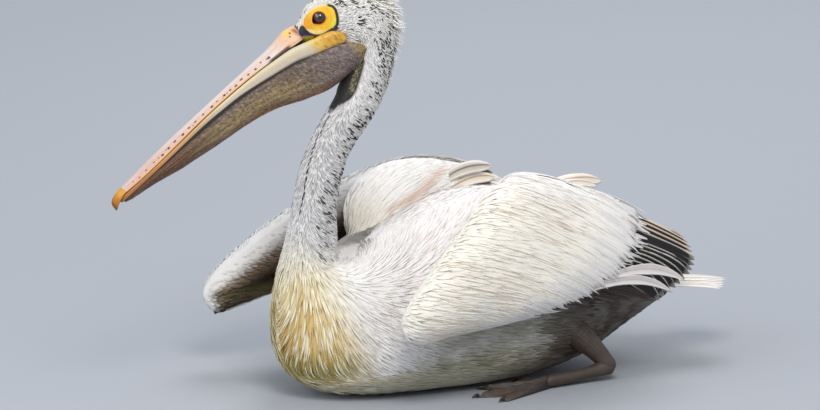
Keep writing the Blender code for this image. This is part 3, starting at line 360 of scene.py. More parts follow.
def add_mesh(name, verts, quads=None, tris=None, colour=None, uv=None, mat=None, smooth_shade=True):
    """Mesh object from arrays: verts (n,3), quads (q,4), tris (t,3), colour per vertex, uv per vertex."""
    verts = np.ascontiguousarray(verts, np.float32).reshape(-1, 3)
    quads = np.zeros((0, 4), np.int32) if quads is None else np.asarray(quads, np.int32).reshape(-1, 4)
    tris = np.zeros((0, 3), np.int32) if tris is None else np.asarray(tris, np.int32).reshape(-1, 3)
    mesh = bpy.data.meshes.new(name)
    mesh.vertices.add(len(verts))
    mesh.vertices.foreach_set("co", verts.ravel())
    loops = np.concatenate([quads.ravel(), tris.ravel()]).astype(np.int32)
    totals = np.concatenate([np.full(len(quads), 4), np.full(len(tris), 3)]).astype(np.int32)
    starts = (np.cumsum(totals) - totals).astype(np.int32)
    mesh.loops.add(len(loops))
    mesh.polygons.add(len(totals))
    mesh.polygons.foreach_set("loop_start", starts)
    mesh.polygons.foreach_set("loop_total", totals)
    mesh.loops.foreach_set("vertex_index", loops)
    mesh.polygons.foreach_set("use_smooth", np.full(len(totals), bool(smooth_shade)))
    if uv is not None:
        layer = mesh.uv_layers.new(name="OFBake")
        layer.data.foreach_set("uv", np.clip(np.asarray(uv, np.float32)[loops], 0.0005, 0.9995).ravel())
    mesh.update(calc_edges=True)
    if colour is not None:
        layer = mesh.color_attributes.new(name="Col", type="FLOAT_COLOR", domain="POINT")
        rgba = np.ones((len(verts), 4), np.float32)
        rgba[:, :3] = np.clip(np.asarray(colour, np.float32).reshape(-1, 3), 0, 1)
        layer.data.foreach_set("color", rgba.ravel())
    mesh.validate()
    obj = bpy.data.objects.new(name, mesh)
    bpy.context.scene.collection.objects.link(obj)
    if mat is not None:
        mesh.materials.append(mat)
    return obj


def grid_faces(rows, cols, wrap=False, start=0, flip=False):
    """Quads of a grid of rows by cols points, closed round the columns if wrap."""
    i = np.arange(rows - 1)[:, None]
    j = np.arange(cols if wrap else cols - 1)[None, :]
    k = (j + 1) % cols
    q = np.stack([i * cols + j, i * cols + k, (i + 1) * cols + k, (i + 1) * cols + j], -1).reshape(-1, 4) + start
    return q[:, ::-1] if flip else q


def closed_tube(rings, flip=False, start=0):
    """Verts, quads and tris of a closed form through rings (rows, count, 3)."""
    rows, count = rings.shape[:2]
    verts = np.concatenate([rings.reshape(-1, 3), rings[0].mean(0)[None], rings[-1].mean(0)[None]])
    quads = grid_faces(rows, count, True)
    j = np.arange(count)
    k = (j + 1) % count
    first, last = rows * count, rows * count + 1
    tris = np.concatenate([np.stack([np.full(count, first), k, j], -1),
                           np.stack([np.full(count, last), (rows - 1) * count + j, (rows - 1) * count + k], -1)])
    if flip:
        quads, tris = quads[:, ::-1], tris[:, ::-1]
    return verts, quads + start, tris + start


def outward(verts, quads, tris):
    """True if the closed mesh's faces point out."""
    t = np.concatenate([quads[:, [0, 1, 2]], quads[:, [0, 2, 3]], tris]) if len(quads) else tris
    a, b, c = verts[t[:, 0]], verts[t[:, 1]], verts[t[:, 2]]
    return float(np.einsum("ij,ij->i", a, np.cross(b, c)).sum()) > 0


def principled(name, rough=0.6, specular=0.5, coat=0.0, sheen=0.0, subsurface=0.0):
    m = bpy.data.materials.new(name)
    m.use_nodes = True
    tree = m.node_tree
    shader = tree.nodes["Principled BSDF"]
    shader.inputs["Roughness"].default_value = rough
    shader.inputs["Specular IOR Level"].default_value = specular
    shader.inputs["Coat Weight"].default_value = coat
    shader.inputs["Coat Roughness"].default_value = 0.06
    shader.inputs["Sheen Weight"].default_value = sheen
    shader.inputs["Sheen Roughness"].default_value = 0.5
    shader.inputs["Subsurface Weight"].default_value = subsurface
    shader.inputs["Subsurface Scale"].default_value = 0.004
    return m, tree, shader


def painted(name, rough, grain=(900.0, 0.10), bump=((700.0, 0.3, 0.0004),), stretch=(1, 1, 1), **kw):
    """Material that shows the painted markings with fine grain in colour and relief."""
    m, tree, shader = principled(name, rough, **kw)
    nodes, links = tree.nodes, tree.links
    col = nodes.new("ShaderNodeAttribute")
    col.attribute_name = "Col"
    where = nodes.new("ShaderNodeTexCoord")
    place = nodes.new("ShaderNodeMapping")
    place.inputs["Scale"].default_value = stretch
    links.new(where.outputs["Object"], place.inputs["Vector"])
    fine = nodes.new("ShaderNodeTexNoise")
    fine.inputs["Scale"].default_value = grain[0]
    fine.inputs["Detail"].default_value = 3.0
    links.new(place.outputs["Vector"], fine.inputs["Vector"])
    ramp = nodes.new("ShaderNodeMapRange")
    ramp.inputs["To Min"].default_value = 1.0 - grain[1]
    ramp.inputs["To Max"].default_value = 1.0 + grain[1]
    ramp.inputs["From Min"].default_value = 0.25
    ramp.inputs["From Max"].default_value = 0.75
    links.new(fine.outputs["Fac"], ramp.inputs["Value"])
    tint = nodes.new("ShaderNodeVectorMath")
    tint.operation = "SCALE"
    links.new(col.outputs["Color"], tint.inputs[0])
    links.new(ramp.outputs["Result"], tint.inputs["Scale"])
    links.new(tint.outputs["Vector"], shader.inputs["Base Color"])
    normal = None
    for scale, strength, depth in bump:
        tex = nodes.new("ShaderNodeTexNoise")
        tex.inputs["Scale"].default_value = scale
        tex.inputs["Detail"].default_value = 4.0
        links.new(place.outputs["Vector"], tex.inputs["Vector"])
        b = nodes.new("ShaderNodeBump")
        b.inputs["Strength"].default_value = strength
        b.inputs["Distance"].default_value = depth
        links.new(tex.outputs["Fac"], b.inputs["Height"])
        if normal is not None:
            links.new(normal, b.inputs["Normal"])
        normal = b.outputs["Normal"]
    if normal is not None:
        links.new(normal, shader.inputs["Normal"])
    return m


def finish_piece(obj, nodes=(), body_name="root"):
    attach(obj, body_name)
    if nodes:
        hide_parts(*nodes)
    return obj


# ---------------------------------------------------------------------------
# Feathers: each is a thin closed blade with a raised shaft line, laid along a
# path over the skin
# ---------------------------------------------------------------------------
def blades(centre, side, up, width, rise, colour, root_uv, droop=0.25, edge=0.9):
    """Arrays of closed blades. centre, side, up: (n,m,3); width, rise: (n,m); colour (n,m,3);
    root_uv (n,2). The last of the m points is the tip."""
    n, m = centre.shape[:2]
    w, r = width[..., None], rise[..., None]
    left = centre - side * w - up * r * droop
    top = centre + up * r
    right = centre + side * w - up * r * droop
    body_pts = np.stack([left, top, right], 2)[:, :-1]           # n, m-1, 3, 3
    tip = centre[:, -1:, :] + up[:, -1:, :] * r[:, -1:, :] * 0.3
    verts = np.concatenate([body_pts.reshape(n, -1, 3), tip], 1)
    per = verts.shape[1]
    # edge darkens both sides of every blade against its shaft line: painted shade in the gaps between feathers
    edge_shade_tint = np.array([edge, 1.0, edge])[None, None, :, None]
    col = (colour[:, :-1, None, :] * edge_shade_tint).reshape(n, -1, 3)
    col = np.concatenate([col, colour[:, -1:, :]], 1)
    across = np.tile(np.array([-0.5, 0.0, 0.5]), m - 1)
    along = np.repeat(np.arange(m - 1) / (m - 1.0), 3)
    shape = np.concatenate([np.stack([across, along - 0.5], -1), [[0.0, 0.5]]]) * 0.003
    uv = root_uv[:, None, :] + shape[None]
    quads, tris = [], []
    for j in range(m - 2):
        a = 3 * j
        b = a + 3
        quads += [(a, a + 1, b + 1, b), (a + 1, a + 2, b + 2, b + 1), (a + 2, a, b, b + 2)]
    a = 3 * (m - 2)
    tris += [(a, a + 1, per - 1), (a + 1, a + 2, per - 1), (a + 2, a, per - 1), (0, 2, 1)]
    base = (np.arange(n) * per)[:, None, None]
    quads = (np.array(quads)[None] + base).reshape(-1, 4) if m > 2 else np.zeros((0, 4), int)
    tris = (np.array(tris)[None] + base).reshape(-1, 3)
    return verts.reshape(-1, 3), quads, tris, col.reshape(-1, 3), uv.reshape(-1, 2)


class Coat:
    """Gathers blades and makes one piece of them."""

    def __init__(self, name):
        self.name, self.parts, self.count = name, [], 0

    def add(self, *args, **kw):
        v, q, t, c, u = blades(*args, **kw)
        self.parts.append((v, q + self.count, t + self.count, c, u))
        self.count += len(v)

    def build(self, slot_name, mat, nodes=()):
        v, q, t, c, u = (np.concatenate([p[i] for p in self.parts]) for i in range(5))
        obj = add_mesh(self.name, v, q, t, c, u, mat, smooth_shade=False)
        print("coat", self.name, "feathers", len(t) // 4, "triangles", 2 * len(q) + len(t))
        return finish_piece(obj, nodes)


def march(surface, a, b, length, heading, steps, h_root, h_tip, lift=0.6, e=(0.01, 0.01), most=(0.6, 0.5), floor=0.0003):
    """Paths over a surface from its points (a, b). surface(a, b, h) gives points, heading(a, b, p, n, f) the
    direction wanted in space. Returns points, surface normals, running directions (n, steps, 3) and the
    surface places (n, steps) passed."""
    a, b = np.array(a, float), np.array(b, float)
    pts, ups, runs, at_a, at_b = [], [], [], [], []
    dl = length / (steps - 1)
    for k in range(steps):
        f = k / (steps - 1.0)
        h = h_root + (h_tip - h_root) * f ** lift
        p = surface(a, b, h)
        pa = (surface(a + e[0], b, h) - surface(a - e[0], b, h)) / (2 * e[0])
        pb = (surface(a, b + e[1], h) - surface(a, b - e[1], h)) / (2 * e[1])
        n = unit(surface(a, b, h + 5e-4) - p)
        d = heading(a, b, p, n, f)
        d = unit(d - n * (d * n).sum(-1, keepdims=True))
        aa, bb, ab = (pa * pa).sum(-1), (pb * pb).sum(-1), (pa * pb).sum(-1)
        ra, rb = (pa * d).sum(-1), (pb * d).sum(-1)
        det = np.maximum(aa * bb - ab * ab, 1e-12)
        da, db = (ra * bb - rb * ab) / det * dl, (rb * aa - ra * ab) / det * dl
        at_a.append(a)
        at_b.append(b)
        pts.append(p)
        ups.append(n)
        runs.append(d)
        a, b = a + np.clip(da, -most[0], most[0]), b + np.clip(db, -most[1], most[1])
    pts = np.stack(pts, 1)
    pts[..., 2] = np.maximum(pts[..., 2], floor)
    return pts, np.stack(ups, 1), np.stack(runs, 1), np.stack(at_a, 1), np.stack(at_b, 1)


def keep(mask, *arrays):
    return tuple(x[mask] for x in arrays)


def lay(coat, pts, ups, runs, width, rise, colour, root_uv, roll, profile, sway=0.0, droop=0.25, edge=0.9):
    """Adds feathers along marched paths: roll tilts each vane, profile is the width at each point."""
    n, m = pts.shape[:2]
    side = unit(np.cross(runs, ups))
    cr, sr = np.cos(roll)[:, None, None], np.sin(roll)[:, None, None]
    s2 = side * cr + ups * sr
    u2 = ups * cr - side * sr
    k = np.linspace(0, 1, m)[None, :, None]
    if np.ndim(sway):
        pts = pts + side * np.asarray(sway)[:, None, None] * k * k
    coat.add(pts, s2, u2, width[:, None] * np.asarray(profile)[None, :], rise[:, None] * np.ones(m)[None, :],
             colour, root_uv, droop=droop, edge=edge)


def rows_over(surface, a0, a1, b0, b1, spacing, rng, wrap=False, jitter=0.45, stretch=1.0, fine=160):
    """Evenly spaced roots over a surface patch: rows across a, each filled along b."""
    aa = np.linspace(a0, a1, fine)
    bb = np.linspace(b0, b1, fine)
    g = surface(aa[:, None] + 0 * bb[None, :], bb[None, :] + 0 * aa[:, None], 0.0)
    along = np.linalg.norm(np.diff(g, axis=0), axis=-1).mean(1)
    reach = np.concatenate([[0], np.cumsum(along)])
    rows = max(2, int(reach[-1] / (spacing * stretch)))
    out_a, out_b = [], []
    for i in range(rows):
        ra = np.interp((i + 0.5) / rows * reach[-1], reach, aa)
        line = surface(np.full(fine, ra), bb, np.zeros(fine))
        seg = np.concatenate([[0], np.cumsum(np.linalg.norm(np.diff(line, axis=0), axis=-1))])
        n = max(3, int(seg[-1] / spacing))
        pos = (np.arange(n) + 0.5 * (i % 2) + 0.25 + rng.uniform(-jitter, jitter, n)) / n
        pos = pos % 1.0 if wrap else np.clip(pos, 0.001, 0.999)
        out_b.append(np.interp(pos * seg[-1], seg, bb))
        step = reach[-1] / rows
        ja = (i + 0.5 + rng.uniform(-jitter, jitter, n)) * step
        out_a.append(np.interp(ja, reach, aa))
    return np.concatenate(out_a), np.concatenate(out_b)

# ---------------------------------------------------------------------------
# Face plan: places on the head as millimetres ahead of (a) and above (b) the
# eye, the same on both sides
# ---------------------------------------------------------------------------
EYE_OUT = 0.0225                       # how far from the middle the face is at the eye


def head_frame(p):
    """Undoes the head's turn, so that places on the head can be told by side."""
    q = np.array(p, float)
    a = HEAD_TURN
    x, y = q[..., 0], q[..., 1] - HEAD_PIVOT_Y
    q[..., 0] = x * math.cos(a) - y * math.sin(a)
    q[..., 1] = x * math.sin(a) + y * math.cos(a) + HEAD_PIVOT_Y
    return q


def face_plan(p):
    q = head_frame(p)
    out = np.abs(q[..., 0]) - EYE_OUT
    fwd = EYE_CENTRE[1] - q[..., 1]
    a = 1000 * (fwd - 0.268 * out)
    b = 1000 * (q[..., 2] - EYE_CENTRE[2] - 0.0574 * fwd - 0.214 * out)
    return a, b


ORBIT = [(-3.5, 14.6), (-10.6, 15.1), (-16.1, 13.5), (-18.8, 10.0), (-20.4, 4.6), (-21.3, -1.9), (-21.0, -7.3),
         (-17.7, -11.6), (-13.4, -13.7), (-9.5, -16.4), (-5.2, -19.1), (0.3, -20.6), (6.3, -20.2), (11.2, -18.1),
         (15.6, -13.9), (18.3, -9.8), (19.0, -5.1), (18.2, -0.8), (15.0, 4.6), (10.1, 8.4), (4.6, 11.6), (0.3, 13.7)]
LORES = [(15.0, -9.0), (21.0, -8.0), (27.0, -9.5), (33.5, -13.0), (33.0, -19.0), (29.0, -28.0), (24.0, -37.0), (10.0, -32.0),
         (-4.0, -26.0), (-16.0, -21.0), (-25.0, -13.0), (-21.0, -10.0), (-10.0, -17.5), (2.0, -21.0), (10.0, -18.5)]


def lid_radius(theta):
    """Reach of the opened lids round the eye's axis, in mm, with a corner low at the front."""
    d = (theta + math.radians(40) + math.pi) % (2 * math.pi) - math.pi
    return 7.7 + 1.7 * np.exp(-(d / 0.42) ** 2)


def bare(a, b):
    """1 on the naked skin round the eye and before it, 0 under feathers."""
    orbit = inside(ORBIT, a, b)
    lores = inside(LORES, a, b)
    return np.maximum(smooth(orbit, -4.4, -3.0), smooth(lores, -0.8, 0.4))


def naked_face(p, s):
    """bare() at points of the head, kept off the feathered ridge of the forehead."""
    a, b = face_plan(p)
    out = np.abs(head_frame(p)[..., 0])
    return bare(a, b) * (s < 5.0) * np.maximum(smooth(out, 0.0085, 0.0115), smooth(a, 24.0, 27.0) * smooth(-b, 6.0, 9.0))


YELLOW = srgb(240, 184, 30)
ORANGE = srgb(222, 150, 22)
LEMON = srgb(214, 204, 48)
PALE_LID = srgb(236, 214, 120)
BLUSH = srgb(226, 198, 178)
RIM = srgb(20, 16, 20)
VIOLET = srgb(48, 20, 92)
OLIVE = srgb(150, 140, 18)
MAROON = srgb(66, 10, 12)
WHITE = srgb(238, 235, 229)
GREY_WHITE = srgb(206, 203, 198)


def face_colour(p):
    a, b = face_plan(p)
    orbit = inside(ORBIT, a, b)
    c = np.broadcast_to(YELLOW, a.shape + (3,)).copy()
    c = mix(c, ORANGE, smooth(a, 4, 17) * smooth(b, 9, -4))
    c = mix(c, LEMON, smooth(-a, 8, 20) * smooth(b, 6, -6) * 0.9)
    c = mix(c, PALE_LID, smooth(-b, 12.5, 16.5) * 0.85)
    c = mix(c, BLUSH, smooth(-b, 13.5, 17.5) * smooth(a, 3, 12) * 0.8)
    c = c * (1 + 0.10 * noise3(p, 0.0016, 3))[..., None]
    r = np.hypot(a, b)
    th = np.arctan2(b, a)
    gap = r - lid_radius(th)
    # darker bands that follow the folds round the eye: painted shade in the folds
    fold = 0.5 + 0.5 * np.cos(2 * math.pi * gap / 2.6 + 0.8 * np.sin(3 * th))
    c = c * (1 - 0.22 * fold * smooth(gap, 0.8, 2.0) * (1 - smooth(gap, 7.5, 10.5)))[..., None]
    c = mix(c, srgb(150, 60, 16), (1 - smooth(gap, 0.2, 1.3)))
    c = mix(c, MAROON, 1 - smooth(gap, -0.4, 0.5))
    rim = 1 - smooth(orbit, -0.6, 0.5)
    dark = mix(np.broadcast_to(RIM, c.shape), VIOLET,
               np.exp(-((a - 17) / 6.5) ** 2 - ((b + 21.5) / 2.6) ** 2) + 0.7 * np.exp(-((a + 19) / 4) ** 2 - ((b + 14) / 3) ** 2))
    dark = mix(dark, srgb(46, 50, 44), 0.8 * np.exp(-((a - 25) / 6) ** 2 - ((b + 13) / 5) ** 2))
    front = np.maximum(smooth(a, 13, 17) * smooth(b, -11, -7), smooth(a, -12, -7) * smooth(b, 0, 4))
    c = mix(c, dark, rim * (1 - front))
    c = mix(c, srgb(214, 196, 150), rim * front)
    strip = smooth(-b - 0.32 * a, 15.6, 18.2) * smooth(a, 4, 8)
    c = mix(c, OLIVE, strip * smooth(-b, 21.0, 24.0) * 0.95)
    c = mix(c, srgb(120, 104, 104), smooth(-b - 0.32 * a, 20.0, 22.5) * (1 - smooth(a, 3, 8)) * 0.7)
    c = mix(c, srgb(128, 60, 22), np.exp(-((a - 25.5 - (b + 30) * 0.42) / 2.2) ** 2) * smooth(-b, 19, 23))
    c = mix(c, srgb(28, 14, 12), smooth(-b - 0.42 * a, 22.5, 24.5) * smooth(a, -22, -14))
    return c


# ---------------------------------------------------------------------------
# Plumage colours over the body
# ---------------------------------------------------------------------------
ALONG = np.array([0.4695, 0.8829, 0.0])          # level line on the bird's left side, front to rear
ACROSS = unit(np.array([0.8620, -0.4584, 0.2164]))
UPWARD = np.cross(ACROSS, ALONG) * (1 if np.cross(ACROSS, ALONG)[2] > 0 else -1)


def wrap(phi):
    return (phi + math.pi) % (2 * math.pi) - math.pi


def gullet_reach(s, phi):
    """How far inside the naked skin of the throat behind and below the pouch a place is, in radians."""
    front = math.pi - np.abs(wrap(phi))
    reach = np.interp(s, [4.3, 4.6, 5.2, 6.1, 7.0, 8.0, 8.8, 9.1, 9.4, 9.7, 10.0, 10.3, 10.45],
                      [-0.1, 1.03, 1.05, 1.00, 1.03, 1.06, 1.05, 1.00, 0.94, 0.84, 0.64, 0.25, -0.1])
    return reach - front


def gullet(s, phi):
    return smooth(gullet_reach(s, phi), -0.03, 0.03)


def coat_depth(s, phi):
    return np.interp(s, [0, 2, 5, 7, 10, 13, 15, 18, 22, 27],
                     [0.0012, 0.0016, 0.0030, 0.0032, 0.0030, 0.0036, 0.0060, 0.0070, 0.0060, 0.0030])


# line of the painted shadow in the crease below the raised shoulder
CREASE_SHADE_LINE = [(-0.0921, 0.1980), (-0.0610, 0.2190), (-0.0470, 0.2310), (-0.0295, 0.2567)]   # along and up, from the fore end


def crease(p):
    """1 along the crease below the raised shoulder, where a pinkish-brown painted shadow goes, told by place along and
    up the bird's side.
    """
    x, y = (p * ALONG).sum(-1), (p * UPWARD).sum(-1)
    near = np.full(np.shape(x), 1e9)
    for (x0, y0), (x1, y1) in zip(CREASE_SHADE_LINE[:-1], CREASE_SHADE_LINE[1:]):
        ex, ey = x1 - x0, y1 - y0
        t = np.clip(((x - x0) * ex + (y - y0) * ey) / (ex * ex + ey * ey), 0, 1)
        near = np.minimum(near, np.hypot(x - x0 - t * ex, y - y0 - t * ey))
    above = y - np.interp(x, [q[0] for q in CREASE_SHADE_LINE], [q[1] for q in CREASE_SHADE_LINE])
    wide = np.where(above > 0, 0.0080, 0.0040) * np.interp(x, [-0.092, -0.050, -0.030], [0.5, 1.2, 1.0])
    return np.exp(-(near / wide) ** 2)


def fore_breast(p):
    """1 over the stained front of the breast, fading to 0 on its sides."""
    q = np.stack([np.abs(p[..., 0]), p[..., 1], p[..., 2]], -1)
    place = (q * ALONG).sum(-1) + 0.35 * ((q * UPWARD).sum(-1) - 0.05)
    return 1 - smooth(place, -0.152, -0.104)


def plumage_colour(s, phi, p):
    """Base colour of the body's feathers, with painted shade below the wing and in the crease below the raised
    shoulder.
    """
    z = p[..., 2]
    side = np.abs(np.sin(phi))
    front = -np.cos(phi)
    n = noise3(p, 0.012, 1)
    c = np.broadcast_to(srgb(235, 232, 229), z.shape + (3,)).copy()
    neck = 1 - smooth(s, 12.8, 15.0)
    c = mix(c, srgb(228, 225, 222), neck * 0.9)
    c = mix(c, srgb(208, 206, 208), neck * smooth(s, 9.0, 11.0) * smooth(front, -0.35, 0.3) * 0.65)
    c = mix(c, srgb(240, 237, 230), (1 - smooth(s, 11.5, 13.5)) * smooth(-front, 0.3, 0.75) * 0.9)
    c = mix(c, srgb(176, 176, 158), np.exp(-((s - 4.6) / 0.6) ** 2 - ((np.abs(wrap(phi)) - 1.95) / 0.16) ** 2) * 0.6)
    round_ = np.abs(wrap(phi))
    fore = fore_breast(p)
    cream = smooth(s, 13.0, 14.4) * (1 - smooth(s, 17.6, 18.8)) * smooth(round_, 0.75, 1.45) * (0.10 + 0.90 * fore)
    c = mix(c, srgb(230, 221, 194), cream * 0.85)
    low = smooth(s, 13.9, 14.9) * (1 - smooth(s, 17.6, 18.7)) * smooth(round_, 1.50, 2.05) * fore
    patch = np.clip(0.50 + 0.60 * noise3(p, 0.022, 12), 0, 1)
    c = mix(c, srgb(224, 205, 152), low * smooth(0.205 - z, 0.0, 0.070) * (0.50 + 0.40 * patch))
    c = mix(c, srgb(206, 172, 104), low * smooth(0.170 - z, 0.0, 0.060) * smooth(patch, 0.25, 0.75) * 0.75)
    c = mix(c, srgb(146, 134, 58), low * smooth(0.100 - z, 0.0, 0.025) * 0.7)
    c = mix(c, srgb(196, 188, 158), smooth(0.062 - z, 0.0, 0.030) * smooth(s, 15.5, 17.0) * 0.75)
    # olive-grey below the wing: partly the stained belly, partly painted shade under the wing
    belly = smooth(0.112 - z, 0, 0.020) * smooth(s, 18.6, 20.2) * (1 - smooth(s, 25.0, 26.5)) * (1 - 0.5 * smooth(0.050 - z, 0, 0.035))
    c = mix(c, srgb(116, 112, 82), belly * np.clip(0.62 + 0.3 * n, 0, 1))
    # dark brown at the rear flank under the wing: partly brown plumage, partly painted shade under the wing
    rear = smooth(s, 21.2, 22.5) * smooth(front, -0.60, -0.10)
    c = mix(c, srgb(66, 52, 44), rear * np.clip(0.85 + 0.2 * n, 0, 1))
    # pinkish-brown painted shadow in the crease below the raised shoulder
    c = mix(c, srgb(204, 172, 150), 0.75 * crease(p) * smooth(s, 15.5, 16.5) * (1 - smooth(s, 22.0, 23.0)))
    return np.clip(c * (1 + 0.04 * n)[..., None], 0, 1)


# ---------------------------------------------------------------------------
# Skin: one closed surface over head, neck, trunk and wings
# ---------------------------------------------------------------------------
def head_skin_relief(p, n, s, phi):
    """Moves the face's surface: lids round the eye, folds below it, a groove along the rim."""
    a, b = face_plan(p)
    r = np.hypot(a, b)
    th = np.arctan2(b, a)
    gap = r - lid_radius(th)
    near = (s < 4.5) & (np.abs(np.sin(phi)) > 0.3)
    lid = 1.25 * np.exp(-((gap - 0.75) / 0.85) ** 2)
    fold = (0.32 * np.cos(2 * math.pi * (gap - 0.7) / 2.6 + 0.8 * np.sin(3 * th)) + 0.12 * np.cos(2 * math.pi * gap / 1.1)) \
        * smooth(gap, 1.0, 2.2) * (1 - smooth(gap, 7.5, 11.0)) * (1.15 - 0.45 * smooth(b, 0, 8))
    orbit = inside(ORBIT, a, b)
    rim = 0.5 * np.exp(-((orbit + 1.8) / 1.2) ** 2) - 0.35 * np.exp(-((orbit - 0.3) / 0.7) ** 2)
    hollow = -5.0 * (1 - smooth(gap, -1.1, 0.15))
    rough = 0.10 * noise3(p, 0.0011, 5)
    d = np.where(near, lid + fold + rim * smooth(gap, 2, 4) + hollow + rough * smooth(gap, 0, 1), 0.0)
    return d * 0.001


def skin_height(s, phi, p):
    naked = naked_face(p, s)
    throat = gullet(s, phi)
    # the skin drops away under the plumes in the hollow behind the neck's foot
    hollow = (1 - smooth(np.abs(wrap(phi)), 1.0, 1.5)) * smooth(s, 12.9, 14.0) * (1 - smooth(s, 16.2, 17.2))
    return -coat_depth(s, phi) * (1 - np.maximum(naked, throat)) - 0.005 * hollow


def body_skin():
    s = np.concatenate([np.linspace(0.02, 3.6, 210), np.linspace(3.6, 8.0, 70)[1:], np.linspace(8.0, 14.0, 64)[1:],
                        np.linspace(14.0, 26.95, 84)[1:]])
    q = np.linspace(0, 2 * math.pi, 193)[:-1]
    phi = q - 0.30 * np.sin(2 * q) * 0.5       # closer together on the sides of the face
    S, F = s[:, None] + 0 * phi[None], phi[None] + 0 * s[:, None]
    p0 = body(S, F, 0.0)
    h = skin_height(S, F, p0)
    p = body(S, F, h)
    n = unit(body(S, F, h + 5e-4) - p)
    p = p + n * head_skin_relief(p0, n, S, F)[..., None]
    p[..., 2] = np.maximum(p[..., 2], 0.0004)
    col = plumage_colour(S, F, p0) * 0.80
    naked = naked_face(p0, S)
    col = mix(col, face_colour(p0), naked)
    grain = noise3(p0, 0.0011, 8)
    deep = gullet_reach(S, F)
    throat_col = mix(np.broadcast_to(srgb(17, 14, 13), col.shape), srgb(44, 38, 33), smooth(grain, 0.1, 0.8))
    olive = mix(np.broadcast_to(srgb(50, 42, 26), col.shape), srgb(150, 138, 96), smooth(grain, -0.05, 0.65))
    strip = smooth(deep, 0.05, 0.09) * (1 - smooth(deep, 0.30 + 0.10 * (S < 7), 0.42 + 0.12 * (S < 7))) * (1 - smooth(S, 8.8, 9.4))
    throat_col = mix(throat_col, olive, strip)
    col = mix(col, throat_col, gullet(S, F) * (1 - naked))
    uv = np.stack([F / (2 * math.pi), 0.02 + 0.96 * S / 27.0], -1)
    rings = p
    verts, quads, tris = closed_tube(rings)
    col = np.concatenate([col.reshape(-1, 3), col[0].mean(0)[None], col[-1].mean(0)[None]])
    uv = np.concatenate([uv.reshape(-1, 2), [[0.5, 0.01]], [[0.5, 0.99]]])
    return verts, quads, tris, col, uv


def wing_depth(rows, t, c):
    return np.minimum(0.0030, 0.45 * wing_thickness(rows, t, c))


def wing_colour(which, t, c, side, p):
    """Base colour of a wing's coverts, over (side 1) and under (side -1), with painted shade: greyer toward the hind
    edge above, and darker toward the hind edge below, where it is partly the brown underwing.
    """
    n = noise3(p, 0.014, 6)
    col = np.broadcast_to(srgb(237, 234, 230), np.shape(t) + (3,)).copy()
    under = np.asarray(side) < 0
    if which == "left":
        over = mix(col, srgb(238, 233, 219), smooth(t, 1.0, 2.6) * (1 - smooth(t, 5.6, 6.8)) * (1 - smooth(c, 0.50, 0.85)) * 0.85)
        # grey-lilac toward the hind edge: painted shade between the feather tips
        over = mix(over, srgb(226, 222, 220), smooth(c, 0.55, 0.95) * 0.55)
        over = mix(over, srgb(214, 196, 170), smooth(c, 0.86, 1.0) * smooth(2.6 - t, 0.0, 0.8) * 0.6)
        shade = smooth(c, 0.10, 0.42) * smooth(t, 3.0, 4.6)
    else:
        over = mix(col, srgb(246, 240, 216), smooth(t, 1.0, 2.6) * (1 - smooth(t, 5.6, 6.8)) * smooth(c, 0.2, 0.4) * (1 - smooth(c, 0.50, 0.85)) * 0.7)
        # grey-lilac toward the hind edge: painted shade between the feather tips
        over = mix(over, srgb(226, 222, 220), smooth(c, 0.55, 0.95) * 0.55)
        shade = smooth(c, 0.09 - 0.06 * smooth(t, 3.4, 4.2), 0.22 - 0.10 * smooth(t, 3.4, 4.2)) * smooth(t, 2.5, 3.1)
    # under side from tan to near-black toward the hind edge: partly the brown underwing coverts, partly painted shade
    # on the wing's under side
    brown_and_shade = mix(np.broadcast_to(srgb(138, 118, 98), col.shape), srgb(48, 36, 30), smooth(c, 0.12, 0.42))
    streak = noise3(p * np.array([1.0, 0.45, 1.0]), 0.006, 14)
    brown_and_shade = mix(brown_and_shade, srgb(166, 146, 120), smooth(streak, 0.15, 0.7) * 0.55 * (1 - smooth(c, 0.45, 0.7)) * smooth(t, 4.6, 5.6))
    below = mix(col, brown_and_shade, shade)
    tip = smooth(t, 5.7, 6.3) * smooth(c, 0.0, 0.08)
    below = mix(below, srgb(76, 70, 46), tip * 0.85)
    below = mix(below, srgb(34, 28, 24), smooth(t, 6.72, 6.95))
    over = mix(over, srgb(196, 186, 160), smooth(t, 6.0, 6.9) * 0.35 * smooth(c, 0.1, 0.3))
    col = np.where(under[..., None], below, over)
    return np.clip(col * (1 + 0.04 * n)[..., None], 0, 1)


def shoulder_colour(t, a, p):
    n = noise3(p, 0.014, 7)
    col = np.broadcast_to(srgb(238, 235, 231), np.shape(t) + (3,)).copy()
    col = mix(col, srgb(232, 226, 208), (1 - smooth(t, 1.2, 2.0)) * 0.7)
    # pinkish-brown painted shadow in the crease below the raised shoulder
    col = mix(col, srgb(204, 172, 150), crease(p) * 0.7)
    return np.clip(col * (1 + 0.03 * n)[..., None], 0, 1)


def wing_skin(which, rows, mirror):
    last = len(rows) - 1.0
    nt, nc = 90, 52
    t = np.linspace(0.015, last - 0.015, nt)
    c = (1 - np.cos(np.linspace(0, math.pi / 2, nc))) ** 1.1
    c[-1] = 1.0
    loop = np.concatenate([c[::-1], c[1:]])
    side = np.concatenate([np.ones(nc), -np.ones(nc - 1)])
    T, C = t[:, None] + 0 * loop[None], 0.88 * loop[None] + 0 * t[:, None]
    Sd = side[None] + 0 * t[:, None]
    p = wing_point(rows, T, C, Sd, -wing_depth(rows, T, C), mirror)
    col = wing_colour(which, T, C, Sd, p) * 0.82
    k = np.linspace(0, 1, len(loop))[None] + 0 * T
    uv = np.stack([0.02 + 0.96 * k, 0.02 + 0.96 * T / last], -1)
    verts, quads, tris = closed_tube(p)
    col = np.concatenate([col.reshape(-1, 3), col[0].mean(0)[None], col[-1].mean(0)[None]])
    uv = np.concatenate([uv.reshape(-1, 2), [[0.5, 0.01]], [[0.5, 0.99]]])
    return verts, quads, tris, col, uv


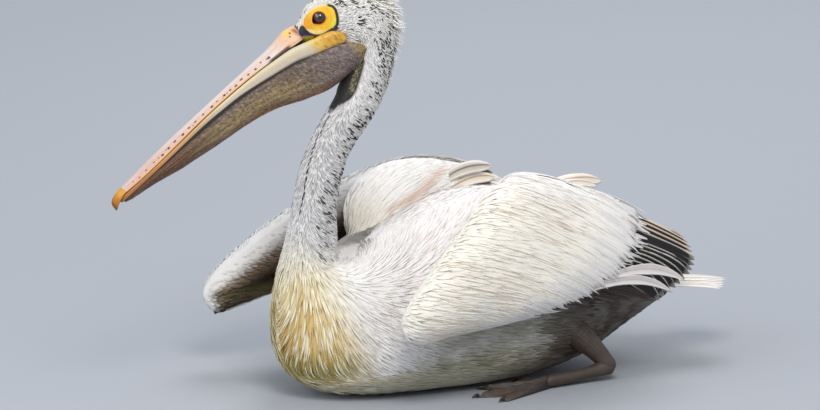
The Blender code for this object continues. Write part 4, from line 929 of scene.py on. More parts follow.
def shoulder_skin():
    t = np.linspace(0.03, 6.97, 110)
    a = np.linspace(0, 2 * math.pi, 73)[:-1]
    T, A = t[:, None] + 0 * a[None], a[None] + 0 * t[:, None]
    depth = np.minimum(0.0026, 0.4 * spline(SHOULDER, T)[..., 4])
    p = shoulder(T, A, -depth)
    col = shoulder_colour(T, A, p) * 0.85
    uv = np.stack([A / (2 * math.pi), 0.02 + 0.96 * T / 7.0], -1)
    verts, quads, tris = closed_tube(p)
    col = np.concatenate([col.reshape(-1, 3), col[0].mean(0)[None], col[-1].mean(0)[None]])
    uv = np.concatenate([uv.reshape(-1, 2), [[0.5, 0.01]], [[0.5, 0.99]]])
    return verts, quads, tris, col, uv


skin_mat = painted("Skin and down", 0.62, grain=(1400.0, 0.06), bump=((1100.0, 0.35, 0.0003), (3500.0, 0.3, 0.00012)), subsurface=0.0)


# the unwrap holds the body, the left wing, the right wing and the right shoulder side by side
FRAMES = {"body": (0.0, 0.56), "left": (0.57, 0.74), "right": (0.75, 0.92), "shoulder": (0.93, 1.0)}


def body_uv(s, phi):
    return np.stack([0.56 * ((phi / (2 * math.pi)) % 1.0), 0.02 + 0.96 * s / 27.0], -1)


def wing_uv(which, t, c, side):
    lo, hi = FRAMES[which]
    x = np.arccos(np.clip(1 - np.clip(c / 0.88, 0, 1) ** (1 / 1.1), -1, 1)) / (math.pi / 2)
    k = np.where(np.asarray(side) > 0, 0.5 - 0.5 * x, 0.5 + 0.5 * x)
    return np.stack([lo + (0.02 + 0.96 * k) * (hi - lo), 0.02 + 0.96 * t / 7.0], -1)


def shoulder_uv(t, a):
    lo, hi = FRAMES["shoulder"]
    return np.stack([lo + ((a / (2 * math.pi)) % 1.0) * (hi - lo), 0.02 + 0.96 * t / 7.0], -1)


def build_skin():
    parts = [body_skin(), wing_skin("left", WING_LEFT, 1), wing_skin("right", WING_RIGHT, -1), shoulder_skin()]
    V, Q, T, C, U, base = [], [], [], [], [], 0
    for (v, q, t, c, u), (lo, hi) in zip(parts, FRAMES.values()):
        if not outward(v, q, t):
            q, t = q[:, ::-1], t[:, ::-1]
        V.append(v); Q.append(q + base); T.append(t + base); C.append(c)
        U.append(np.stack([lo + u[:, 0] * (hi - lo), u[:, 1]], -1))
        base += len(v)
    obj = add_mesh("skin", np.concatenate(V), np.concatenate(Q), np.concatenate(T), np.concatenate(C), np.concatenate(U), skin_mat)
    return finish_piece(obj, ("head", "neck_upper", "neck_middle", "neck_lower", "breast", "trunk", "rump",
                                         "wing_left", "wing_right", "scapulars_right"))


build_skin()

# ---------------------------------------------------------------------------
# Bill, nail, bars and pouch
# ---------------------------------------------------------------------------
def table_at(table, l):
    """Rows of a table whose first column is the distance along the bill, read at l."""
    t = np.asarray(table, float)
    x = np.linspace(0, len(t) - 1, 600)
    fine = spline(t, x)
    order = np.maximum.accumulate(fine[:, 0])
    return np.stack([np.interp(l, order, fine[:, k]) for k in range(1, t.shape[1])], -1)


def scatter_spots(l, y, spots, soft=0.0004):
    """Strength of small dark spots: each spot is (l, y, radius along, radius across)."""
    m = np.zeros(np.broadcast(l, y).shape)
    for sl, sy, ra, rb in spots:
        r = np.hypot((l - sl) / ra, (y - sy) / rb)
        m = np.maximum(m, 1 - smooth(r, 0.6, 1.25))
    return m


def bill_upper_mesh():
    nl, na = 420, 58
    l = np.concatenate([np.linspace(-0.0138, 0.03, 90), np.linspace(0.03, 0.2800, nl - 89)[1:]])
    row = table_at(UPPER, l)
    low, top, w = row[:, 0:1], row[:, 1:2], row[:, 2:3]
    a = np.linspace(0, math.pi, na)[None, :]
    p = 1.65
    x = w * np.sign(np.cos(a)) * np.abs(np.cos(a)) ** (2 / p)
    z = low + (top - low) * np.abs(np.sin(a)) ** (2 / p)
    L = l[:, None] + 0 * a
    f = np.abs(x) / w                         # 0 on the ridge, 1 at the cutting edge
    # a flat band down the middle, a shallow furrow each side of it, and a rounded rim
    ridge = smooth(L, -0.004, 0.03)
    z = z - 0.0009 * np.exp(-((f - 0.46) / 0.10) ** 2) * ridge - 0.0004 * np.exp(-((f - 0.82) / 0.06) ** 2) * ridge
    z = z + 0.0004 * np.exp(-((f - 0.93) / 0.05) ** 2)
    pts = bill(L, x, z)
    n_grain = noise3(np.stack([L * 0.25, x, z], -1), 0.0012, 2)
    up = unit(bill(L, x, z + 1e-3) - pts)
    pts = pts + up * (n_grain * 0.00008)[..., None]
    # colours
    cream, pink, peach = srgb(212, 192, 180), srgb(204, 168, 152), srgb(214, 164, 126)
    c = np.broadcast_to(cream, L.shape + (3,)).copy()
    c = mix(c, pink, smooth(L, 0.02, 0.12) * (0.35 + 0.3 * smooth(f, 0.35, 0.75)))
    c = mix(c, srgb(216, 207, 200), (1 - smooth(f, 0.15, 0.42)) * 0.6 * smooth(L, 0.01, 0.05))
    c = mix(c, srgb(196, 150, 130), smooth(L, 0.14, 0.25) * 0.35)
    c = mix(c, peach, (1 - smooth(L, 0.0, 0.030)) * 0.75)
    c = mix(c, srgb(236, 194, 92), np.exp(-((L + 0.002) / 0.007) ** 2 - ((f - 0.35) / 0.3) ** 2) * 0.9)
    c = mix(c, srgb(126, 66, 32), np.exp(-((L + 0.0085 + 0.004 * f) / 0.0030) ** 2) * 0.85 * smooth(f, 0.20, 0.55))
    c = mix(c, srgb(104, 58, 30), scatter_spots(L, f, [(-0.0040, 0.52, 0.0013, 0.09), (-0.0012, 0.70, 0.0010, 0.07)]) * 0.9)
    c = mix(c, srgb(212, 142, 60), smooth(f, 0.945, 0.985) * smooth(L, 0.03, 0.08) * 0.9)
    c = mix(c, srgb(64, 38, 32), smooth(f, 0.93, 0.97) * smooth(L, 0.004, 0.010) * (1 - smooth(L, 0.034, 0.044)) * 0.9)
    rng = np.random.default_rng(5)
    spots = []
    at = 0.036
    while at < 0.270:                        # large and small dark spots in an uneven row along each side
        big = rng.uniform(0.75, 1.35)
        spots.append((at, 0.74 + rng.uniform(-0.09, 0.08), 0.0019 * big, 0.085 * big * rng.uniform(0.7, 1.1)))
        if rng.random() < 0.35:
            spots.append((at + rng.uniform(0.003, 0.006), 0.80 + rng.uniform(-0.10, 0.08), 0.0010, 0.05))
        at += rng.uniform(0.0088, 0.0150)
    c = mix(c, srgb(30, 23, 27), scatter_spots(L, f, spots) * 0.95)
    streak = noise3(np.stack([L * 0.06, x, z], -1), 0.0009, 4)
    c = c * (1 + 0.06 * streak + 0.04 * n_grain)[..., None]
    # underside, closed by strips across
    flat = np.linspace(1, -1, 12)[1:-1][None, :] * (-w)
    Lf = l[:, None] + 0 * flat
    roof = low + 0.0004 + 0.0022 * (1 - (flat / w) ** 2) * smooth(Lf, 0.0, 0.03)
    under = bill(Lf, flat, roof)
    rings = np.concatenate([pts, under], 1)
    cu = np.broadcast_to(srgb(190, 130, 96), under.shape)
    col = np.concatenate([c, cu], 1)
    v, q, t = closed_tube(rings)
    if not outward(v, q, t):
        q, t = q[:, ::-1], t[:, ::-1]
    col = np.concatenate([col.reshape(-1, 3), col[0].mean(0)[None], col[-1].mean(0)[None]])
    obj = add_mesh("upper_bill", v, q, t, col, None, bill_mat)
    finish_piece(obj, ("bill_upper",))


def nail_mesh():
    l = np.linspace(0.2803, 0.3036, 60)
    x = np.linspace(0, len(NAIL) - 1, 60)
    row = spline(NAIL, x)
    L, low, top, w = row[:, 0:1], row[:, 1:2], row[:, 2:3], row[:, 3:4]
    a = np.linspace(0, math.pi, 34)[None, :]
    p = 1.75
    X = w * np.sign(np.cos(a)) * np.abs(np.cos(a)) ** (2 / p)
    Z = low + (top - low) * np.abs(np.sin(a)) ** (2 / p)
    flat = np.linspace(1, -1, 8)[1:-1][None, :] * (-w)
    X = np.concatenate([X, flat], 1)
    Z = np.concatenate([Z, low + 0.0004 + 0 * flat], 1)
    Lg = L + 0 * X
    pts = bill(Lg, X, Z)
    c = np.broadcast_to(srgb(206, 146, 46), Lg.shape + (3,)).copy()
    c = mix(c, srgb(176, 108, 26), smooth(Lg, 0.286, 0.296))
    c = mix(c, srgb(90, 58, 28), smooth(Lg, 0.297, 0.3036) * 0.8)
    c = c * (1 + 0.08 * noise3(pts, 0.0016, 9))[..., None]
    v, q, t = closed_tube(pts)
    if not outward(v, q, t):
        q, t = q[:, ::-1], t[:, ::-1]
    c = np.concatenate([c.reshape(-1, 3), c[0].mean(0)[None], c[-1].mean(0)[None]])
    obj = add_mesh("nail", v, q, t, c, None, bill_mat)
    finish_piece(obj, ("bill_nail",))


def bars_mesh():
    n, na = 330, 22
    half = spline(RAMUS, np.linspace(0, len(RAMUS) - 1, n))
    side = np.concatenate([np.column_stack([half[:, 0], half[:, 3], half[:, 1], half[:, 2], half[:, 4]]),
                           np.column_stack([half[:, 0], -half[:, 3], half[:, 1], half[:, 2], half[:, 4]])[-2::-1]])
    run = np.gradient(side[:, :2], axis=0)
    run[n - 1] = (0, -1)
    run = unit(run)
    a = np.linspace(0, 2 * math.pi, na, endpoint=False)[None, :]
    l, x, top, low, w = (side[:, k:k + 1] for k in range(5))
    dl, dx = run[:, 0:1], run[:, 1:2]
    cen, r = (top + low) / 2, (top - low) / 2
    ca, sa = np.cos(a), np.sin(a)
    off = w * np.sign(ca) * np.abs(ca) ** 0.75
    up = cen + r * np.sign(sa) * np.abs(sa) ** 0.75
    L, X = l - dx * off, x + dl * off
    out = np.where(X * np.sign(x + 1e-9) > np.abs(x), 1.0, 0.0)
    f = (up - low) / (top - low)                    # 0 at the lower edge, 1 at the upper
    knob = 1 - smooth(l, -0.030, -0.008)
    lump = noise3(np.stack([L, X, up], -1), 0.0045, 12) * 0.0008 + noise3(np.stack([L, X, up], -1), 0.0016, 13) * 0.0004
    groove = -0.0005 * np.exp(-((f - 0.55) / 0.07) ** 2) * smooth(l, 0.0, 0.02)
    d = lump * knob + groove
    L, X, up = L - dx * off / w * d, X + dl * off / w * d, up + np.sign(sa) * 0.3 * d
    pts = bill(L, X, up)
    l = l + 0 * a
    c = np.broadcast_to(srgb(200, 189, 166), l.shape + (3,)).copy()
    c = mix(c, srgb(206, 182, 164), np.exp(-((f - 0.52) / 0.14) ** 2) * smooth(l, -0.02, 0.01) * (1 - smooth(l, 0.08, 0.16)) * 0.8)
    c = mix(c, srgb(212, 201, 152), np.exp(-((f - 0.80) / 0.12) ** 2) * (1 - smooth(l, 0.01, 0.06)) * 0.7)
    c = mix(c, srgb(218, 196, 120), smooth(f, 0.82, 0.97) * smooth(l, 0.02, 0.07) * 0.6)
    c = mix(c, srgb(222, 180, 72), smooth(-l, 0.006, 0.022) * 0.9)
    c = mix(c, srgb(200, 146, 42), smooth(-l, 0.018, 0.036) * (0.7 + 0.4 * noise3(pts, 0.004, 14)))
    c = mix(c, srgb(120, 84, 38), smooth(-l, 0.048, 0.0555) * 0.6)
    crease = smooth(noise3(pts, 0.0022, 15), 0.15, 0.55)
    c = mix(c, srgb(126, 82, 30), crease * knob * 0.65)
    c = mix(c, srgb(188, 138, 80), smooth(l, 0.11, 0.19) * 0.85)
    c = mix(c, srgb(70, 46, 34), (1 - smooth(f, 0.08, 0.26)) * smooth(l, -0.02, 0.02) * 0.85)
    c = mix(c, srgb(166, 104, 52), smooth(l, 0.18, 0.26) * 0.75)
    c = c * (1 + 0.05 * noise3(np.stack([l * 0.08, X, up], -1), 0.0010, 16))[..., None]
    v, q, t = closed_tube(pts)
    if not outward(v, q, t):
        q, t = q[:, ::-1], t[:, ::-1]
    c = np.concatenate([c.reshape(-1, 3), c[0].mean(0)[None], c[-1].mean(0)[None]])
    obj = add_mesh("lower_bars", v, q, t, c, None, bill_mat)
    finish_piece(obj, ("bill_lower",))


def pouch_mesh():
    nl, na = 330, 96
    x = np.linspace(0.0, len(POUCH) - 1, nl)
    row = spline(POUCH, x)
    l, top, low, w, pw = (row[:, k:k + 1] for k in range(5))
    a = np.linspace(0, math.pi, na)[None, :]
    X, Z = pouch_section(a, top, low, w, pw, 0.0)
    L = l + 0 * a
    g = np.abs(np.sin(a)) ** 1.0                    # 0 at the bars, 1 at the keel
    # stretch folds that run along the pouch and fan from its root
    fold_at = (Z - top) / (low - top + 1e-9)
    raw = np.stack([L * 0.10, X * 0 + np.sign(np.cos(a)) * 0.01, fold_at * 0.05], -1)
    folds = noise3(raw, 0.0034, 21) + 0.5 * noise3(raw, 0.0016, 22)
    dip = 0.0011 * folds * smooth(g, 0.1, 0.4) * smooth(L, -0.055, 0.02) * (1 - 0.5 * smooth(L, 0.18, 0.26))
    pts0 = bill(L, X, Z)
    grain = noise3(pts0, 0.0017, 23)
    scale = 1 + (dip + 0.00022 * grain) / np.maximum(np.hypot(X, Z - (top + low) / 2), 0.004)
    X2 = X * scale
    Z2 = (top + low) / 2 + (Z - (top + low) / 2) * scale
    Z2 = np.minimum(Z2, top)
    pts = bill(L, X2, Z2)
    # colours
    fine = noise3(np.stack([L * 0.16, np.sign(np.cos(a)) * 0.02 + 0 * L, fold_at * 0.05], -1), 0.0011, 26)
    c = np.broadcast_to(srgb(108, 92, 84), L.shape + (3,)).copy()
    c = mix(c, srgb(122, 108, 106), smooth(-L, -0.04, 0.02) * 0.8)
    mid = smooth(L, -0.01, 0.05) * (1 - smooth(L, 0.14, 0.22))
    c = mix(c, srgb(146, 126, 82), mid * np.exp(-((fold_at - 0.55) / 0.26) ** 2) * 0.9)
    c = mix(c, srgb(142, 92, 48), smooth(fold_at, 0.70, 0.92) * smooth(L, -0.03, 0.02) * (1 - smooth(L, 0.10, 0.16)) * 0.9)
    c = mix(c, srgb(150, 134, 134), smooth(fold_at, 0.95, 0.995) * smooth(L, -0.04, 0.0) * (1 - smooth(L, 0.08, 0.13)) * 0.8)
    c = mix(c, srgb(104, 66, 38), smooth(L, 0.12, 0.22) * 0.85)
    c = mix(c, srgb(140, 116, 58), smooth(-L, 0.044, 0.056) * 0.75)
    # lighter on the ridges of the stretch folds and darker in their troughs: painted light and shade following the
    # folds
    c = c * (1 + 0.30 * smooth(folds, -0.8, 0.8) - 0.18)[..., None]
    c = c * (1 + 0.30 * smooth(fine, -0.5, 0.5) - 0.16)[..., None]
    speck = smooth(noise3(pts0, 0.0011, 24), 0.0, 0.50)
    c = mix(c, srgb(38, 30, 30), speck * 0.66 * (1 - 0.5 * smooth(L, 0.08, 0.2)))
    glint = smooth(noise3(pts0, 0.0010, 25), 0.24, 0.66)
    warm = noise3(pts0, 0.006, 27)
    c = mix(c, mix(np.broadcast_to(srgb(196, 164, 150), c.shape), srgb(190, 170, 112), smooth(warm, -0.1, 0.5)), glint * 0.50 * (1 - 0.5 * smooth(L, 0.10, 0.2)))
    # near-black band along the top of the pouch just below the bars: painted shadow under the bars
    band = np.interp(L, [-0.06, -0.035, -0.01, 0.29], [0.0, 0.06, 0.08, 0.16])
    c = mix(c, srgb(26, 19, 20), (1 - smooth(fold_at, band * 0.75, band * 1.2 + 0.01)) * smooth(L, -0.045, -0.02) * 0.94)
    flat = np.linspace(1, -1, 10)[1:-1][None, :] * (-w)
    lid = bill(l + 0 * flat, flat, top + 0 * flat)
    rings = np.concatenate([pts, lid], 1)
    col = np.concatenate([c, np.broadcast_to(srgb(120, 90, 70), lid.shape)], 1)
    v, q, t = closed_tube(rings)
    if not outward(v, q, t):
        q, t = q[:, ::-1], t[:, ::-1]
    col = np.concatenate([col.reshape(-1, 3), col[0].mean(0)[None], col[-1].mean(0)[None]])
    obj = add_mesh("throat_pouch", v, q, t, col, None, pouch_mat)
    finish_piece(obj, ("pouch",))


bill_mat = painted("Bill keratin", 0.42, grain=(2200.0, 0.05), bump=((1500.0, 0.25, 0.00015),), specular=0.45)
pouch_mat = painted("Pouch leather", 0.50, grain=(1800.0, 0.10), bump=((1600.0, 0.55, 0.0003), (5200.0, 0.4, 0.0001)), specular=0.5)
bill_upper_mesh()
nail_mesh()
bars_mesh()
pouch_mesh()


# ---------------------------------------------------------------------------
# Eyes: pupil, iris, dark outer ring, and a clear wet front
# ---------------------------------------------------------------------------
def eyeball(side_name, sign):
    centre = np.array([sign * EYE_CENTRE[0], EYE_CENTRE[1], EYE_CENTRE[2]])
    axis = unit(np.array([sign * 1.0, -0.22, 0.06]))
    ref = unit(np.cross(axis, np.array([0, 0, 1.0])))
    upv = np.cross(ref, axis)
    nr, na = 56, 64
    th = np.linspace(0, math.pi, nr)[:, None]
    ph = np.linspace(0, 2 * math.pi, na, endpoint=False)[None, :]
    R = EYE_RADIUS
    rr = R * np.sin(th)
    cornea = 0.0011 * np.exp(-(rr / 0.0052) ** 4) * (th < 1.2)
    p = (axis * (np.cos(th) * (R - 0.0004) + cornea)[..., None] + (ref * np.cos(ph)[..., None] + upv * np.sin(ph)[..., None]) * (rr - 0.0)[..., None])
    pts = turn_head(centre + p, np.array(2.0))
    mm = 1000 * rr + 0 * ph
    front = (th < math.pi / 2) + 0 * ph
    c = np.broadcast_to(srgb(6, 6, 8), mm.shape + (3,)).copy()
    ray = noise3(np.stack([np.cos(ph) * 0.004 + 0 * th, np.sin(ph) * 0.004 + 0 * th, mm * 0.0002], -1), 0.0006, 31)
    iris = mix(np.broadcast_to(srgb(52, 44, 42), c.shape), srgb(28, 22, 21), smooth(ray, -0.5, 0.6))
    c = mix(c, iris, smooth(mm, 2.6, 3.1))
    c = mix(c, srgb(44, 16, 16), smooth(mm, 4.9, 5.6))
    c = mix(c, srgb(84, 8, 12), smooth(mm, 5.6, 6.6))
    c = mix(c, srgb(40, 6, 8), smooth(mm, 7.4, 8.4))
    c = np.where((front > 0.5)[..., None], c, srgb(40, 6, 8))
    v, q, t = closed_tube(pts[1:-1])
    if not outward(v, q, t):
        q, t = q[:, ::-1], t[:, ::-1]
    c = c[1:-1]
    c = np.concatenate([c.reshape(-1, 3), c[0].mean(0)[None], c[-1].mean(0)[None]])
    obj = add_mesh("eyeball_" + side_name, v, q, t, c, None, eye_mat)
    finish_piece(obj, ("eye_" + side_name,))


eye_mat = painted("Wet eye", 0.08, grain=(2500.0, 0.04), bump=(), specular=0.6, coat=1.0)
for side_name, sign in (("left", 1), ("right", -1)):
    eyeball(side_name, sign)

# ---------------------------------------------------------------------------
# Feathers of the head, neck, breast and trunk
# ---------------------------------------------------------------------------
BLACK = srgb(26, 24, 24)

down_mat = painted("Head and neck feathers", 0.72, grain=(2200.0, 0.05), bump=((3200.0, 0.25, 0.00012),), specular=0.25)
plume_mat = painted("Body feathers", 0.66, grain=(1500.0, 0.04), bump=((2600.0, 0.25, 0.00015),), specular=0.3)


def turned(d, n, a):
    """Directions d turned about normals n by angles a."""
    return d * np.cos(a)[..., None] + np.cross(n, d) * np.sin(a)[..., None]


def sloping(n, degrees):
    """Directions in the surface that slope down to the rear by so many degrees as seen from the side."""
    th = np.radians(degrees)
    a = np.cos(th)[..., None] * ALONG - np.sin(th)[..., None] * UPWARD
    d = (n * ACROSS).sum(-1)
    d = np.where(d < 0, -1, 1) * np.maximum(np.abs(d), 0.3)
    return unit(a - ACROSS * ((a * n).sum(-1) / d)[..., None])


def body_at(s, phi, h=0.0):
    return body(np.clip(s, 0.05, 26.97), phi, h)


FLIP = np.array([-1.0, 1.0, 1.0])


def lie_of_body(s, phi, p, n, f):
    """The way the feathers run: down the neck, hanging over the breast, rising along the flanks."""
    down = unit(body_at(s + 0.03, phi) - body_at(s - 0.03, phi))
    side = np.abs(wrap(phi))
    w = (0.9 + 0.7 * (1 - smooth(side, 1.45, 1.85)) * smooth(s, 8.3, 9.5)) * (1 - 0.89 * smooth(side, 1.9, 2.6)) * smooth(s, 5.5, 7.5) * (1 - smooth(s, 13.2, 15.0))
    d = unit(down + w[..., None] * np.array([0.0, 1.0, 0.0]))
    # both sides alike: work on the left and mirror the result
    m = np.where((p[..., 0] < 0)[..., None], FLIP, 1.0)
    q, k = p * m, n * m
    x, y = (q * ALONG).sum(-1), (q * UPWARD).sum(-1)
    hang = np.interp(x, [-0.228, -0.190, -0.134, -0.110, -0.085, -0.053, -0.015, 0.060, 0.140], [88, 80, 62, 48, 32, 14, 2, -4, 0])
    rise = np.interp(x, [-0.190, -0.147, -0.128, -0.110, -0.066, -0.016, 0.060, 0.135, 0.235], [80, 66, 34, 0, -20, -28, -24, -12, 0])
    low = smooth(-y, -0.155, -0.085)
    slope = rise + (hang - rise) * low
    slope = slope * smooth(p[..., 2], 0.020, 0.060)
    v = sloping(k, slope) * m
    facing = smooth((k * ACROSS).sum(-1), 0.10, 0.35)
    blend = facing * smooth(s, 13.9, 15.2) * (1 - smooth(s, 24.0, 25.5))
    d = unit(d * (1 - blend)[..., None] + v * blend[..., None])
    head = 1 - smooth(s, 5.0, 8.0)
    turn = 0.65 * noise3(p, 0.011, 11) * head + 0.06 * noise3(p, 0.010, 21) * (1 - head)
    return turned(d, n, turn)


LENGTHS = ([0, 1, 3, 5, 7, 9, 12, 13.5, 15, 16.5, 18, 20, 24, 27],
           [3.2, 4, 6, 7, 8, 8, 8.5, 13, 36, 52, 42, 40, 36, 30])


def dark_share(s, phi):
    """How many of the head's and neck's small feathers are black, place by place."""
    q = np.abs(wrap(phi))
    crown = 0.50 * smooth(s, 2.4, 3.0) * (1 - smooth(s, 4.4, 5.2)) * (1 - smooth(q, 0.95, 1.2))
    ear = 0.75 * np.exp(-((s - 4.25) / 0.50) ** 2 - ((q - 1.50) / 0.26) ** 2)
    nape = np.interp(s, [4.5, 5.3, 9, 10.5, 13.4, 14.6], [0, 0.44, 0.30, 0.27, 0.24, 0.0]) * (1 - smooth(q, 1.35 + 0.25 * smooth(s, 10.5, 12.0), 1.80 + 0.35 * smooth(s, 10.5, 12.0)))
    thick = 0.5 * np.exp(-((s - 6.4) / 0.6) ** 2 - ((q - 1.30) / 0.25) ** 2)
    row = 0.35 * smooth(s, 5.0, 5.6) * (1 - smooth(s, 8.4, 9.6)) * np.exp(-((q - 0.55) / 0.16) ** 2)
    brow = 0.5 * (1 - smooth(s, 2.6, 3.2)) * np.exp(-((q - 0.10) / 0.14) ** 2)
    return np.clip(crown + ear + nape + thick + row + brow, 0, 0.8)


def body_coat(name, s0, s1, spacing, stretch, m, seed, half, rise, edge, profile, sway, mat, h_tip=(0.0, 0.0004), scale=1.0):
    rng = np.random.default_rng(seed)
    s, phi = rows_over(body_at, s0, s1, 0.0, 2 * math.pi, spacing, rng, wrap=True, stretch=stretch)
    p0 = body_at(s, phi)
    ok = (naked_face(p0, s) < 0.3) & (gullet(s, phi) < 0.3) & (p0[:, 2] > 0.0006)
    s, phi, p0 = keep(ok, s, phi, p0)
    n = len(s)
    length = 0.001 * np.interp(s, *LENGTHS) * rng.uniform(0.8, 1.15, n) * scale
    # short feathers in the hollow behind the neck's foot
    hollow = (1 - smooth(np.abs(wrap(phi)), 0.95, 1.35)) * smooth(s, 12.6, 13.6) * (1 - smooth(s, 15.8, 17.2))
    length = length * (1 - 0.55 * hollow)
    depth = coat_depth(s, phi)
    tip = rng.uniform(h_tip[0], h_tip[1], n)
    back = (1 - smooth(np.abs(wrap(phi)), 0.30, 0.55)) * smooth(s, 5.0, 6.5) * (1 - smooth(s, 12.0, 14.0))
    tip = tip + back * rng.uniform(0.0005, 0.0030, n)
    tip = tip + hollow * rng.uniform(0.0012, 0.0030, n)
    pts, ups, runs, A, B = march(body_at, s, phi, length, lie_of_body, m, -depth * (0.9 - 0.65 * hollow), tip, e=(0.02, 0.02))
    q = body_at(A[:, -1], B[:, -1])
    ok = (naked_face(q, A[:, -1]) < 0.55) & (gullet(A[:, -1], B[:, -1]) < 0.7)
    pts, ups, runs, s, phi, p0, length = keep(ok, pts, ups, runs, s, phi, p0, length)
    n = len(s)
    width = half * rng.uniform(0.85, 1.15, n) * np.clip(np.interp(s, [0, 2, 4], [0.75, 0.85, 1.0]), 0, 1)
    col = plumage_colour(s, phi, p0) * rng.uniform(0.93, 1.05, (n, 1))
    breast = smooth(s, 13.6, 14.8) * (1 - smooth(s, 18.6, 19.8))
    pale = rng.uniform(0, 1, n)
    fore = fore_breast(p0)
    col = mix(col, srgb(248, 243, 218), breast * fore * (pale > 0.72) * 0.75)
    col = mix(col, col * np.array([0.84, 0.74, 0.50]), breast * fore * (pale < 0.28) * smooth(0.21 - p0[:, 2], 0, 0.06))
    col = mix(col, srgb(226, 216, 210), breast * (1 - fore) * (pale < 0.10) * 0.6)
    nape = smooth(s, 4.8, 5.6) * (1 - smooth(s, 13.4, 14.4))
    col = mix(col, srgb(250, 248, 244), nape * (pale > 0.66) * 0.75)
    col = mix(col, srgb(170, 169, 171), nape * (pale < 0.20) * 0.55)
    crown = 1 - smooth(s, 4.8, 5.6)
    col = mix(col, srgb(252, 249, 243), crown * (pale > 0.62) * 0.8)
    col = mix(col, srgb(160, 156, 152), crown * (pale < 0.14) * 0.5)
    lilac = smooth(s, 16.6, 18.2) * (1 - smooth(s, 22.5, 23.5)) * smooth(p0[:, 2], 0.10, 0.14)
    col = mix(col, srgb(228, 212, 212), lilac * (pale < 0.18) * 0.6)
    k = np.linspace(0, 1, m)[None, :, None]
    # darker at the root than at the tip: painted shade where each feather lies under the next
    c = col[:, None, :] * (0.90 + 0.10 * k)
    swing = rng.normal(0, 1, n) * sway * (0.5 + 0.5 * np.clip(length / 0.01, 0, 2))
    coat = Coat(name)
    lay(coat, pts, ups, runs, width, np.full(n, rise), c, body_uv(s, phi), rng.normal(0, 0.08, n), profile, swing, edge=edge)
    coat.build("plumage", mat)


body_coat("head_feathers", 0.25, 5.3, 0.00155, 1.30, 4, 31, 0.00068, 0.00024, 0.80, (0.65, 1.0, 0.8, 0.0), 0.0011, down_mat)
body_coat("nape_feathers", 5.2, 9.6, 0.00142, 1.35, 4, 32, 0.00072, 0.00028, 0.74, (0.65, 1.0, 0.8, 0.0), 0.0009, down_mat)
body_coat("neck_feathers", 9.4, 14.2, 0.00160, 1.45, 4, 33, 0.00074, 0.00028, 0.72, (0.65, 1.0, 0.75, 0.0), 0.0006, down_mat)
body_coat("breast_plumes", 13.7, 18.5, 0.0028, 1.9, 6, 34, 0.00165, 0.00050, 0.86, (0.5, 0.95, 1.0, 0.8, 0.45, 0.0), 0.0014, plume_mat,
          h_tip=(-0.0012, 0.0010))
body_coat("trunk_feathers", 18.1, 23.5, 0.0036, 2.0, 5, 35, 0.0030, 0.0006, 0.93, (0.5, 0.95, 1.0, 0.7, 0.0), 0.0012, plume_mat,
          h_tip=(-0.0010, 0.0006))
body_coat("rump_feathers", 23.2, 26.7, 0.0031, 2.0, 5, 36, 0.0024, 0.0006, 0.80, (0.5, 0.95, 1.0, 0.7, 0.0), 0.0014, plume_mat,
          h_tip=(-0.0008, 0.0008))


